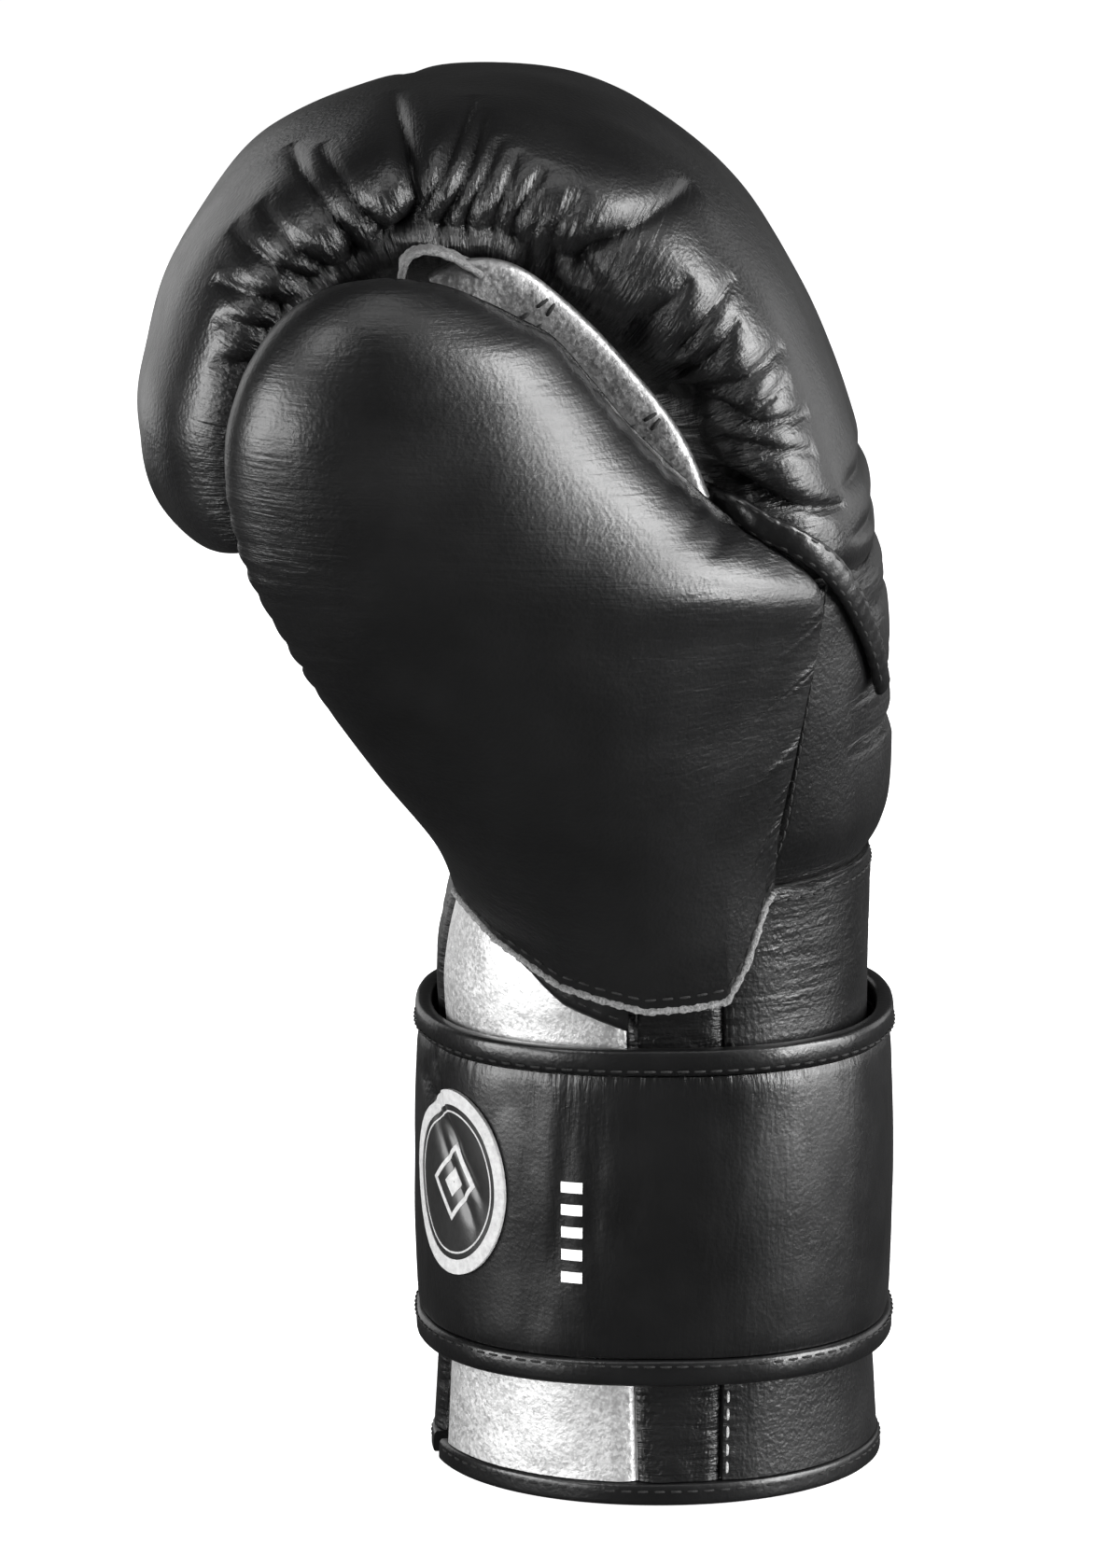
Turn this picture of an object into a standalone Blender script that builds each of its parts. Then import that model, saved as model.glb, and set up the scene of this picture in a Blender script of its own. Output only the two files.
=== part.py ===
"""Padded sparring glove for the right hand, standing on its cuff.

X runs from the palm (-) to the back of the hand (+), Y from the thumb's side (-) to the little
finger's side (+), and Z up. The origin lies on the surface it stands on, under the middle of its box.
The hand space runs from the cuff up into the curled fist, and a branch of it into the thumb.
"""

import math
from collections import namedtuple

import bmesh
import bpy
import numpy as np

# Driving dimensions, in metres. The strap's start, turn and lap and the patch's centre are degrees round
# the cuff, and PATCH_RISE is a share of the strap's height.
WRIST_DEPTH = 0.094
WRIST_WIDTH = 0.100
CUFF_HEIGHT = 0.0946
HAND_RISE = 0.113
FIST_RISE = 0.100
FIST_REACH = 0.165
FIST_WIDTH = 0.124
THUMB_BREADTH = 0.112
THUMB_DEPTH = 0.048
THUMB_STAND_OFF = 0.010
THUMB_BORE = 0.025
STRIP_BREADTH = 0.013
STRIP_DEPTH = 0.009
TAB_THICKNESS = 0.0020
TAB_WIDTH = 0.009
WELT_DIAMETER = 0.0036
FACING_THICKNESS = 0.0016
BINDING_HEIGHT = 0.007
BINDING_PROUD = 0.0005
SLIT_WIDTH = 0.0055
STRAP_HEIGHT = 0.075
STRAP_BASE = 0.0276
STRAP_THICKNESS = 0.0030
STRAP_CLEARANCE = 0.0012
STRAP_BINDING = 0.006
STRAP_START = 96
STRAP_TURN = 404
STRAP_LAP = 26
PATCH_HEIGHT = 0.041
PATCH_BREADTH = 0.031
PATCH_THICKNESS = 0.0009
PATCH_CENTRE = 217
PATCH_RISE = 0.55
GAP = 0.0003
ROWS_PER_SECTION = 2
FIST_COLUMNS = 32
FIST_FIRST_COLUMN = 4
SEAM_ROLL = 0.0022
SEAM_REACH = 0.007
PLEAT_DEPTH = 0.0042
RIB_DEPTH = 0.0022

# One row for each section of the hand space's wall, from the rim to the curled finger tips.
# in is the palm side and out the back of the hand. The hollow's columns are shares of the way from
# in to out, and of the half width.
Row = namedtuple(
    "Row", "name in_x in_z out_x out_z width square hollow_in hollow_out hollow_width"
)

# x in shares of WRIST_DEPTH, z of CUFF_HEIGHT, width of half WRIST_WIDTH
CUFF_ROWS = [
    Row("rim", -0.525, 0.00, 0.530, 0.00, 1.02, 2.05, 0.040, 0.960, 0.925),
    Row("cuff_low", -0.508, 0.33, 0.508, 0.33, 1.00, 2.20, 0.042, 0.958, 0.920),
    Row("cuff_mid", -0.504, 0.67, 0.500, 0.67, 0.99, 2.35, 0.044, 0.955, 0.915),
    Row("cuff_top", -0.508, 1.00, 0.495, 1.00, 0.99, 2.35, 0.046, 0.945, 0.905),
]

# x in shares of WRIST_DEPTH, z of HAND_RISE, width of half WRIST_WIDTH
HAND_ROWS = [
    Row("wrist", -0.515, 0.168, 0.497, 0.186, 1.00, 2.35, 0.050, 0.920, 0.89),
    Row("groove", -0.475, 0.327, 0.507, 0.381, 1.01, 2.40, 0.058, 0.870, 0.89),
    Row("heel", -0.404, 0.451, 0.543, 0.496, 1.06, 2.45, 0.060, 0.800, 0.88),
    Row("palm", -0.319, 0.602, 0.548, 0.664, 1.13, 2.50, 0.062, 0.750, 0.87),
    Row("metacarpal", -0.190, 0.796, 0.540, 0.841, 1.18, 2.60, 0.075, 0.700, 0.85),
]

# x in shares of FIST_REACH in from the back of the hand, z of FIST_RISE, width of half FIST_WIDTH
FIST_ROWS = [
    Row("finger_base", 0.330, -0.03, 0.018, -0.01, 0.975, 2.7, 0.090, 0.620, 0.83),
    Row("knuckle", 0.282, 0.12, 0.039, 0.16, 0.990, 2.8, 0.110, 0.580, 0.82),
    Row("crown_a", 0.294, 0.23, 0.079, 0.37, 1.000, 2.9, 0.110, 0.560, 0.81),
    Row("crown_b", 0.336, 0.33, 0.148, 0.61, 1.000, 3.0, 0.105, 0.540, 0.80),
    Row("crown_c", 0.397, 0.42, 0.252, 0.82, 1.000, 3.0, 0.100, 0.530, 0.80),
    Row("crown_d", 0.470, 0.51, 0.379, 0.95, 1.000, 3.0, 0.100, 0.530, 0.80),
    Row("crown_top", 0.542, 0.56, 0.530, 0.995, 1.000, 3.0, 0.100, 0.530, 0.80),
    Row("front_a", 0.621, 0.57, 0.688, 0.96, 1.000, 3.0, 0.100, 0.530, 0.80),
    Row("front_b", 0.688, 0.51, 0.839, 0.84, 0.995, 3.0, 0.100, 0.530, 0.79),
    Row("front_c", 0.730, 0.41, 0.942, 0.62, 0.990, 3.0, 0.105, 0.520, 0.78),
    Row("front_d", 0.748, 0.29, 0.991, 0.37, 0.980, 2.9, 0.120, 0.500, 0.74),
    Row("finger_tips", 0.745, 0.21, 0.996, 0.22, 0.960, 2.8, 0.160, 0.440, 0.60),
    Row("end_a", 0.750, 0.12, 0.975, 0.10, 0.930, 2.7, 0.200, 0.400, 0.50),
    Row("end_b", 0.776, 0.055, 0.932, 0.03, 0.850, 2.6, 0.200, 0.400, 0.40),
    Row("end_c", 0.821, 0.025, 0.882, 0.02, 0.640, 2.5, 0.200, 0.400, 0.30),
]
BACK_SHARE = 0.548

# The thumb's sections from its foot at the wrist to its tip. rise is a share of the way up from foot
# to tip, lean of the way from the foot's x to the tip's, breadth and depth of the thumb's own sizes,
# drop is how far the palm end lies above the other in shares of the breadth, and out and turn place
# the section off the hand's side and skew it, in shares of the depth.
Thumb = namedtuple("Thumb", "rise lean breadth depth drop out turn")
THUMB_ROWS = [
    Thumb(0.00, 0.000, 0.34, 0.25, 0.10, -0.08, 0.05),
    Thumb(0.09, 0.170, 0.54, 0.42, 0.13, -0.06, 0.16),
    Thumb(0.21, 0.285, 0.70, 0.62, 0.13, 0.00, 0.28),
    Thumb(0.35, 0.360, 0.85, 0.80, 0.11, 0.07, 0.34),
    Thumb(0.48, 0.440, 0.99, 0.92, 0.09, 0.15, 0.36),
    Thumb(0.60, 0.518, 1.04, 1.00, 0.08, 0.23, 0.36),
    Thumb(0.72, 0.740, 0.93, 1.00, 0.09, 0.29, 0.26),
    Thumb(0.82, 0.870, 0.78, 0.94, 0.08, 0.33, 0.18),
    Thumb(0.91, 0.930, 0.60, 0.76, 0.06, 0.35, 0.10),
    Thumb(0.97, 0.957, 0.41, 0.50, 0.03, 0.36, 0.05),
    Thumb(1.00, 1.000, 0.20, 0.25, 0.01, 0.36, 0.00),
]
THUMB_FOOT = (0.005, 0.20)
THUMB_TIP = (0.632, 0.625)
THUMB_SQUARE = 2.3

# The gathers on the side of the fist: where each valley starts along the curl, in rows, how far
# round the section it runs and its strength, as shares, and how far it leans on its way out, in rows.
Pleat = namedtuple("Pleat", "at reach strength lean")
PLEATS = [
    Pleat(9.55, 0.42, 0.55, -0.35),
    Pleat(10.05, 0.62, 0.80, -0.40),
    Pleat(10.50, 0.55, 0.75, -0.30),
    Pleat(10.95, 0.70, 0.85, -0.25),
    Pleat(11.45, 0.62, 0.70, -0.15),
    Pleat(11.90, 0.88, 1.00, -0.10),
    Pleat(12.40, 0.70, 0.80, -0.05),
    Pleat(12.85, 0.78, 0.90, 0.00),
    Pleat(13.30, 0.66, 0.80, 0.02),
    Pleat(13.80, 0.90, 1.00, 0.00),
    Pleat(14.30, 0.70, 0.90, -0.02),
    Pleat(14.80, 0.92, 1.00, -0.10),
    Pleat(15.35, 0.74, 0.95, -0.10),
    Pleat(15.90, 0.78, 0.90, 0.00),
    Pleat(16.45, 0.66, 0.85, 0.05),
    Pleat(17.05, 0.72, 0.80, 0.05),
    Pleat(17.70, 0.60, 0.65, 0.05),
    Pleat(18.40, 0.45, 0.45, 0.00),
]
PLEAT_HALF_WIDTH = 0.17
LITTLE_FINGER_SIDE = 0.75

# The stitched grooves across the back of the hand, by row, with their strength as a share.
RIBS = [(6.88, 0.80), (7.40, 0.90), (8.38, 1.00), (9.46, 0.60), (10.08, 0.60)]
RIB_HALF_WIDTH = 0.10

# Places on the wall by row and angle.
TAB_STATIONS = [(16.10, 232), (16.04, 245), (15.88, 254), (15.66, 256), (15.40, 252), (15.10, 244)]
WELT_STATIONS = [
    (10.30, 222), (10.10, 252), (9.62, 275), (9.26, 290), (8.78, 304), (8.14, 318), (7.50, 328)
]

# The facing's two edges across the palm panel, in rows.
Edge = namedtuple("Edge", "degrees low high")
FACING_EDGES = [
    Edge(219, 4.72, 4.90),
    Edge(230, 4.46, 4.80),
    Edge(240, 4.20, 4.60),
    Edge(250, 3.85, 4.40),
    Edge(264.5, 3.56, 4.08),
]

# Angles round the section, in degrees: 0 is the back of the hand and 270 the thumb's side.
LITTLE_FINGER_SEAM = 98
HEEL_SEAM = 192
PALM_SEAM = 265
GUSSET_SEAM = 286

BLACK = (0.016, 0.016, 0.017)
SILVER = (0.62, 0.62, 0.63)
GREY = (0.22, 0.22, 0.22)


def placed_rows():
    """The section table in metres, one list of numbers for each row."""
    table = []
    half_wrist = WRIST_WIDTH / 2
    half_fist = FIST_WIDTH / 2
    knuckle_z = CUFF_HEIGHT + HAND_RISE
    back_x = BACK_SHARE * WRIST_DEPTH
    for rows, base, rise, half in (
        (CUFF_ROWS, 0.0, CUFF_HEIGHT, half_wrist),
        (HAND_ROWS, CUFF_HEIGHT, HAND_RISE, half_wrist),
    ):
        for r in rows:
            table.append(
                [
                    r.in_x * WRIST_DEPTH,
                    base + r.in_z * rise,
                    r.out_x * WRIST_DEPTH,
                    base + r.out_z * rise,
                    r.width * half,
                    r.square,
                    r.hollow_in,
                    r.hollow_out,
                    r.hollow_width,
                ]
            )
    for r in FIST_ROWS:
        table.append(
            [
                back_x - r.in_x * FIST_REACH,
                knuckle_z + r.in_z * FIST_RISE,
                back_x - r.out_x * FIST_REACH,
                knuckle_z + r.out_z * FIST_RISE,
                r.width * half_fist,
                r.square,
                r.hollow_in,
                r.hollow_out,
                r.hollow_width,
            ]
        )
    return np.array(table)


TABLE = placed_rows()
NAMES = [r.name for r in CUFF_ROWS + HAND_ROWS + FIST_ROWS]


def level(name):
    """A named section's place along the glove, in rows."""
    return float(NAMES.index(name))


def blend_rows(table, at):
    """A smooth curve through a table's rows, read at a place in rows."""
    last = len(table) - 1
    i = min(int(at), last - 1)
    t = at - i
    p0, p1, p2, p3 = (table[min(max(i + k, 0), last)] for k in (-1, 0, 1, 2))
    square = 2 * p0 - 5 * p1 + 4 * p2 - p3
    cube = 3 * p1 - p0 - 3 * p2 + p3
    return 0.5 * (2 * p1 + (p2 - p0) * t + square * t**2 + cube * t**3)


def bulged(value, square):
    """A cosine or sine pushed towards a square's side, as in a superellipse."""
    return math.copysign(abs(value) ** (2 / square), value)


def section(at, degrees, hollow=False, grow=0.0):
    """A point of the wall at a place along the glove and an angle round it."""
    in_x, in_z, out_x, out_z, half, square, h_in, h_out, h_width = blend_rows(TABLE, at)
    palm = np.array([in_x, in_z])
    back = np.array([out_x, out_z])
    if hollow:
        palm, back = palm + h_in * (back - palm), palm + h_out * (back - palm)
        half *= h_width
    if grow:
        step = grow * (back - palm) / np.linalg.norm(back - palm)
        palm, back, half = palm - step, back + step, half + grow
    angle = math.radians(degrees)
    share = (1 + bulged(math.cos(angle), square)) / 2
    x, z = palm + share * (back - palm)
    return [x, half * bulged(math.sin(angle), square), z]


def grid_of(places, angles, **how):
    return np.array([[section(u, a, **how) for a in angles] for u in places])


def outward(places, angles):
    """Unit normals of the wall, pointing away from the hand space."""
    normals = []
    for u in places:
        for a in angles:
            around = np.subtract(section(u, a + 0.5), section(u, a - 0.5))
            along = np.subtract(section(u + 0.02, a), section(u - 0.02, a))
            normal = np.cross(around, along)
            normals.append(normal / np.linalg.norm(normal))
    return np.array(normals).reshape(len(places), len(angles), 3)


def draw_in(edge, neighbour):
    """Moves an edge back from its seam by half the gap."""
    step = neighbour - edge
    edge += step * (GAP / 2) / np.linalg.norm(step, axis=-1, keepdims=True)


def smooth_step(t):
    t = np.clip(t, 0.0, 1.0)
    return t * t * (3 - 2 * t)


def edge_roll(grid, wrap, rolled):
    """How far each point sinks where the leather rolls into the seams round a panel."""
    depth = np.zeros(grid.shape[:2])
    along = np.linalg.norm(np.diff(grid, axis=0), axis=2)
    along = np.concatenate([np.zeros((1, grid.shape[1])), np.cumsum(along, axis=0)])
    distances = []
    if "low" in rolled:
        distances.append(along)
    if "high" in rolled:
        distances.append(along[-1] - along)
    if not wrap and "sides" in rolled:
        across = np.linalg.norm(np.diff(grid, axis=1), axis=2)
        across = np.concatenate([np.zeros((grid.shape[0], 1)), np.cumsum(across, axis=1)], axis=1)
        distances += [across, across[:, -1:] - across]
    for distance in distances:
        share = np.clip(1 - distance / SEAM_REACH, 0, 1)
        depth = np.maximum(depth, SEAM_ROLL * share**2)
    return depth


def pleat_depth(at, degrees):
    """Depth of the gathers at a place on the fist's sides, strongest at the inner seam."""
    side = abs(((degrees - 180 + 180) % 360) - 180) / 180
    strength = 1.0 if degrees % 360 > 180 else LITTLE_FINGER_SIDE
    total = 0.0
    for pleat in PLEATS:
        out = side / pleat.reach
        if out >= 1:
            continue
        centre = pleat.at + pleat.lean * side
        width = PLEAT_HALF_WIDTH * (0.8 + 0.9 * side)
        near = (at - centre) / width
        fade = smooth_step(side / 0.12) * (1 - smooth_step(out))
        total += pleat.strength * fade * math.exp(-(near**2))
    return PLEAT_DEPTH * strength * total


def rib_depth(at, degrees):
    """Depth of the stitched grooves across the back of the hand."""
    facing = max(0.0, math.cos(math.radians(degrees)))
    total = sum(share * math.exp(-(((at - row) / RIB_HALF_WIDTH) ** 2)) for row, share in RIBS)
    return RIB_DEPTH * total * smooth_step(2.2 * facing)


def material(name, colour, roughness, metallic=0.0):
    made = bpy.data.materials.new(name)
    made.use_nodes = True
    shader = made.node_tree.nodes["Principled BSDF"]
    shader.inputs["Base Color"].default_value = (*colour, 1)
    shader.inputs["Roughness"].default_value = roughness
    shader.inputs["Metallic"].default_value = metallic
    return made


def add_object(name, points, faces, finish=None):
    mesh = bpy.data.meshes.new(name)
    mesh.from_pydata([tuple(map(float, p)) for p in points], [], faces)
    work = bmesh.new()
    work.from_mesh(mesh)
    bmesh.ops.recalc_face_normals(work, faces=work.faces)
    work.to_mesh(mesh)
    work.free()
    made = bpy.data.objects.new(name, mesh)
    bpy.context.scene.collection.objects.link(made)
    if finish:
        mesh.materials.append(finish)
        mesh.shade_smooth()
        mesh.set_sharp_from_angle(angle=math.radians(40))
    return made


def rows_of_faces(first, rows, columns, wrap):
    """Quads of a grid whose points start at an index."""
    faces = []
    for i in range(rows - 1):
        for j in range(columns if wrap else columns - 1):
            k = (j + 1) % columns
            a = first + i * columns
            faces.append((a + j, a + k, a + columns + k, a + columns + j))
    return faces


def wall(name, outer, inner, finish, wrap=False):
    """A wall between two grids of the same size, closed round all its edges."""
    rows, columns = outer.shape[:2]
    count = rows * columns
    points = np.concatenate([outer.reshape(-1, 3), inner.reshape(-1, 3)])
    faces = rows_of_faces(0, rows, columns, wrap)
    faces += [f[::-1] for f in rows_of_faces(count, rows, columns, wrap)]
    for i in (0, rows - 1):
        for j in range(columns if wrap else columns - 1):
            a, b = i * columns + j, i * columns + (j + 1) % columns
            faces.append((a, b, b + count, a + count))
    if not wrap:
        for j in (0, columns - 1):
            for i in range(rows - 1):
                a, b = i * columns + j, (i + 1) * columns + j
                faces.append((a, b, b + count, a + count))
    return add_object(name, points, faces, finish)


def sock(name, outer, inner, finish):
    """A closed-ended wall: two capped sleeves of rings that meet round the open end."""
    columns = outer.shape[1]
    points = [*outer.reshape(-1, 3), *inner.reshape(-1, 3)]
    first_inner = outer.shape[0] * columns
    faces = rows_of_faces(0, outer.shape[0], columns, True)
    faces += [f[::-1] for f in rows_of_faces(first_inner, inner.shape[0], columns, True)]
    for j in range(columns):
        k = (j + 1) % columns
        faces.append((j, k, first_inner + k, first_inner + j))
    for grid, first in ((outer, 0), (inner, first_inner)):
        points.append(grid[-1].mean(axis=0))
        last = first + (grid.shape[0] - 1) * columns
        for j in range(columns):
            faces.append((last + j, last + (j + 1) % columns, len(points) - 1))
    return add_object(name, points, faces, finish)


def plug(name, grid, finish=None):
    """A solid skinned over rings of points, capped at both ends."""
    rows, columns = grid.shape[:2]
    points = [*grid.reshape(-1, 3), grid[0].mean(axis=0), grid[-1].mean(axis=0)]
    faces = rows_of_faces(0, rows, columns, True)
    last = (rows - 1) * columns
    for j in range(columns):
        k = (j + 1) % columns
        faces.append((k, j, len(points) - 2))
        faces.append((last + j, last + k, len(points) - 1))
    return add_object(name, points, faces, finish)


def smooth_path(points, count):
    """A smooth curve through a few points."""
    table = np.array(points, float)
    return np.array([blend_rows(table, s) for s in np.linspace(0, len(table) - 1, count)])


def bar_rings(path, half_across, half_deep, deep, sides):
    """Oval rings along a path. deep is the direction of the second half size."""
    deep = np.array(deep, float)
    rings = []
    for i, centre in enumerate(path):
        tangent = path[min(i + 1, len(path) - 1)] - path[max(i - 1, 0)]
        across = np.cross(tangent, deep)
        across /= np.linalg.norm(across)
        upright = np.cross(across, tangent)
        upright /= np.linalg.norm(upright)
        ring = []
        for angle in np.linspace(0, 2 * math.pi, sides, endpoint=False):
            sideways = half_across * math.cos(angle) * across
            ring.append(centre + sideways + half_deep * math.sin(angle) * upright)
        rings.append(ring)
    return np.array(rings)


def cut(piece, cutter):
    """Takes a cutter's shape out of a piece."""
    made = piece.modifiers.new("cut", "BOOLEAN")
    made.operation = "DIFFERENCE"
    made.object = cutter
    cutter.hide_render = True
    cutter.display_type = "WIRE"


def panel(name, low, high, start, end, columns, finish, rolled="low high sides", shape=None, proud=0.0):
    """A panel of the wall between two places along the glove and two angles round it."""
    first = math.ceil(low * ROWS_PER_SECTION + 0.3)
    steps = np.arange(first, high * ROWS_PER_SECTION - 0.3) / ROWS_PER_SECTION
    folds = [row for row, _ in RIBS if shape and low < row < high]
    places = sorted([low, *steps, *folds, high])
    angles = np.linspace(start, end, columns)
    outer = grid_of(places, angles, grow=proud)
    inner = grid_of(places, angles, hollow=True)
    depth = edge_roll(outer, False, rolled)
    if shape:
        depth = depth + np.array([[shape(u, a) for a in angles] for u in places])
    outer = outer - depth[..., None] * outward(places, angles)
    for grid in (outer, inner):
        if low > 0:
            draw_in(grid[0], grid[1])
        draw_in(grid[-1], grid[-2])
        draw_in(grid[:, 0], grid[:, 1])
        draw_in(grid[:, -1], grid[:, -2])
    return wall(name, outer, inner, finish)


def fist_pad(finish):
    """The padded fist: one shell from the knuckle seam round the curl to the finger tips."""
    angles = np.linspace(0, 360, FIST_COLUMNS, endpoint=False) + FIST_FIRST_COLUMN
    start = level("finger_base")
    valleys = [pleat.at for pleat in PLEATS]
    crests = [(a + b) / 2 for a, b in zip(valleys, valleys[1:])]
    tail = np.linspace(valleys[-1], level("end_c"), 9)[1:]
    places = sorted([start, start + 0.23, start + 0.46, *valleys, *crests, *tail])
    outer = grid_of(places, angles)
    depth = edge_roll(outer, True, "low")
    depth += np.array([[pleat_depth(u, a) + rib_depth(u, a) for a in angles] for u in places])
    outer = outer - depth[..., None] * outward(places, angles)
    inner = grid_of(np.linspace(start, level("front_d"), 14), angles, hollow=True)
    for grid in (outer, inner):
        draw_in(grid[0], grid[1])
    return sock("fist_pad", outer, inner, finish)


def envelope(grow):
    """The whole glove's outside without the thumb, as a cutter."""
    angles = np.linspace(0, 360, FIST_COLUMNS, endpoint=False) + FIST_FIRST_COLUMN
    places = np.linspace(level("cuff_mid"), level("end_c"), 60)
    return plug("hand_envelope", grid_of(places, angles, grow=grow))


def thumb_places():
    """The thumb's section table in metres: palm end, other end and half depth for each row."""
    knuckle_z = CUFF_HEIGHT + HAND_RISE
    back_x = BACK_SHARE * WRIST_DEPTH
    foot = np.array([THUMB_FOOT[0] * WRIST_DEPTH, CUFF_HEIGHT + THUMB_FOOT[1] * HAND_RISE])
    tip = np.array([back_x - THUMB_TIP[0] * FIST_REACH, knuckle_z + THUMB_TIP[1] * FIST_RISE])
    table = []
    for r in THUMB_ROWS:
        x = foot[0] + r.lean * (tip[0] - foot[0])
        z = foot[1] + r.rise * (tip[1] - foot[1])
        y = -WRIST_WIDTH / 2 - r.out * THUMB_DEPTH - r.rise * THUMB_STAND_OFF
        half = r.breadth * THUMB_BREADTH / 2
        lift = r.drop * THUMB_BREADTH / 2
        skew = r.turn * THUMB_DEPTH / 2
        table.append([x - half, y - skew, z + lift, x + half, y + skew, z - lift, r.depth * THUMB_DEPTH / 2])
    return np.array(table)


THUMB_TABLE = thumb_places()


def thumb_rings(rows, columns, grow=0.0):
    rings = []
    for at in np.linspace(0, len(THUMB_TABLE) - 1, rows):
        values = blend_rows(THUMB_TABLE, at)
        palm, back, depth = values[:3], values[3:6], values[6] + grow
        step = grow * (back - palm) / np.linalg.norm(back - palm)
        palm, back = palm - step, back + step
        ring = []
        for angle in np.linspace(0, 2 * math.pi, columns, endpoint=False):
            share = (1 + bulged(math.cos(angle), THUMB_SQUARE)) / 2
            point = palm + share * (back - palm)
            point[1] += depth * bulged(math.sin(angle), THUMB_SQUARE)
            ring.append(point)
        rings.append(ring)
    return np.array(rings)


def thumb_point(at, degrees):
    """A point on the thumb's own surface, by row and by angle round its section."""
    values = blend_rows(THUMB_TABLE, at)
    share = (1 + bulged(math.cos(math.radians(degrees)), THUMB_SQUARE)) / 2
    point = values[:3] + share * (values[3:6] - values[:3])
    point[1] += values[6] * bulged(math.sin(math.radians(degrees)), THUMB_SQUARE)
    return point


def thumb_bore():
    """The thumb's own space, which opens into the hand space."""
    middle = []
    for at, share in ((3.4, 0.60), (4.4, 0.56), (5.6, 0.50), (7.0, 0.50), (8.0, 0.50)):
        values = blend_rows(THUMB_TABLE, at)
        middle.append(values[:3] + share * (values[3:6] - values[:3]))
    way_in = middle[0] + np.array([0.15 * WRIST_DEPTH, 0.30 * WRIST_WIDTH, -0.18 * HAND_RISE])
    path = smooth_path([way_in, *middle], 14)
    return plug("thumb_bore", bar_rings(path, THUMB_BORE / 2, THUMB_BORE / 2, (0, 1, 0), 14))


def thumb_strip(name, grow=0.0, finish=None):
    """The strip that ties the thumb to the fist, along the crease between them."""
    stations = ((10.0, 88), (9.7, 40), (9.0, 22), (8.0, 16), (7.0, 14), (6.0, 12), (5.3, 8))
    path = smooth_path([thumb_point(at, degrees) for at, degrees in stations], 20)
    rings = bar_rings(path, STRIP_BREADTH / 2 + grow, STRIP_DEPTH / 2 + grow, (0, 1, 0), 10)
    return plug(name, rings, finish)


def strip_tab(finish):
    """The raw-edged loop on the fist's side that holds the strip's upper end."""
    path = surface_path(TAB_STATIONS, TAB_WIDTH / 2, 14)
    return plug("strip_tab", bar_rings(path, TAB_THICKNESS / 2, TAB_WIDTH / 2, (0, 1, 0), 8), finish)


def thumb_welt(name, grow=0.0, finish=None):
    """The piped seam from behind the thumb down over the back of the hand."""
    radius = WELT_DIAMETER / 2
    path = surface_path(WELT_STATIONS, radius + GAP, 24)
    return plug(name, bar_rings(path, radius + grow, radius + grow, (1, 0, 0.2), 8), finish)


def palm_facing(finish):
    """The doubled leather along the palm side of the thumb's foot."""
    angles = np.linspace(FACING_EDGES[0].degrees, FACING_EDGES[-1].degrees, 9)
    degrees = [edge.degrees for edge in FACING_EDGES]
    low = np.interp(angles, degrees, [edge.low for edge in FACING_EDGES])
    high = np.interp(angles, degrees, [edge.high for edge in FACING_EDGES])
    shares = np.linspace(0, 1, 4)
    faces = []
    for grow in (GAP + FACING_THICKNESS, GAP):
        lines = []
        for s in shares:
            places = zip(angles, low + s * (high - low))
            lines.append([section(at, a, grow=grow) for a, at in places])
        faces.append(np.array(lines))
    return wall("palm_facing", faces[0], faces[1], finish)


def level_at(height):
    """The place along the cuff, in rows, at a height above the rim."""
    low, high = 0.0, level("wrist")
    for _ in range(30):
        middle = (low + high) / 2
        if blend_rows(TABLE, middle)[1] < height:
            low = middle
        else:
            high = middle
    return low


def band_point(degrees, height, offset):
    """A point round the cuff's widest oval under the strap, at a distance off it."""
    rows = TABLE[1:5]
    palm = rows[:, 0].min() - offset
    back = rows[:, 2].max() + offset
    half = rows[:, 4].max() + offset
    square = rows[:, 5].max()
    angle = math.radians(degrees)
    share = (1 + bulged(math.cos(angle), square)) / 2
    return [palm + share * (back - palm), half * bulged(math.sin(angle), square), height]


def strap_offset(degrees):
    """How far the strap's inner face lies off the cuff: its last stretch lies over its first."""
    lift = STRAP_THICKNESS + 2 * BINDING_PROUD + GAP
    return STRAP_CLEARANCE + lift * float(smooth_step((degrees - STRAP_START - 360 + STRAP_LAP) / STRAP_LAP))


def strap_band(name, low, high, proud, finish):
    angles = np.linspace(STRAP_START, STRAP_START + STRAP_TURN, 42)
    outer = []
    inner = []
    for height in (low, high):
        outer.append([band_point(a, height, strap_offset(a) + STRAP_THICKNESS + proud) for a in angles])
        inner.append([band_point(a, height, strap_offset(a) - proud) for a in angles])
    return wall(name, np.array(outer), np.array(inner), finish)


def strap_patch(finish):
    """The round patch by the palm's edge, bent to the strap under it."""
    rings = 3
    spokes = 22
    across = math.degrees(PATCH_BREADTH / WRIST_DEPTH)
    grids = []
    for offset in (GAP + PATCH_THICKNESS, GAP):
        points = []
        for i in range(rings + 1):
            for k in range(spokes if i else 1):
                turn = 2 * math.pi * k / spokes
                share = i / rings
                degrees = PATCH_CENTRE + across * share * math.cos(turn)
                height = STRAP_BASE + STRAP_HEIGHT * PATCH_RISE + PATCH_HEIGHT / 2 * share * math.sin(turn)
                points.append(band_point(degrees, height, strap_offset(degrees) + STRAP_THICKNESS + offset))
        grids.append(points)
    faces = []
    count = len(grids[0])
    for first, step in ((0, 1), (count, -1)):
        for k in range(spokes):
            n = (k + 1) % spokes
            faces.append((first, first + 1 + k, first + 1 + n)[::step])
            for i in range(rings - 1):
                a = first + 1 + i * spokes
                faces.append((a + k, a + spokes + k, a + spokes + n, a + n)[::step])
    edge = 1 + (rings - 1) * spokes
    for k in range(spokes):
        n = (k + 1) % spokes
        faces.append((edge + k, edge + n, count + edge + n, count + edge + k))
    return add_object("strap_patch", grids[0] + grids[1], faces, finish)


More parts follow.
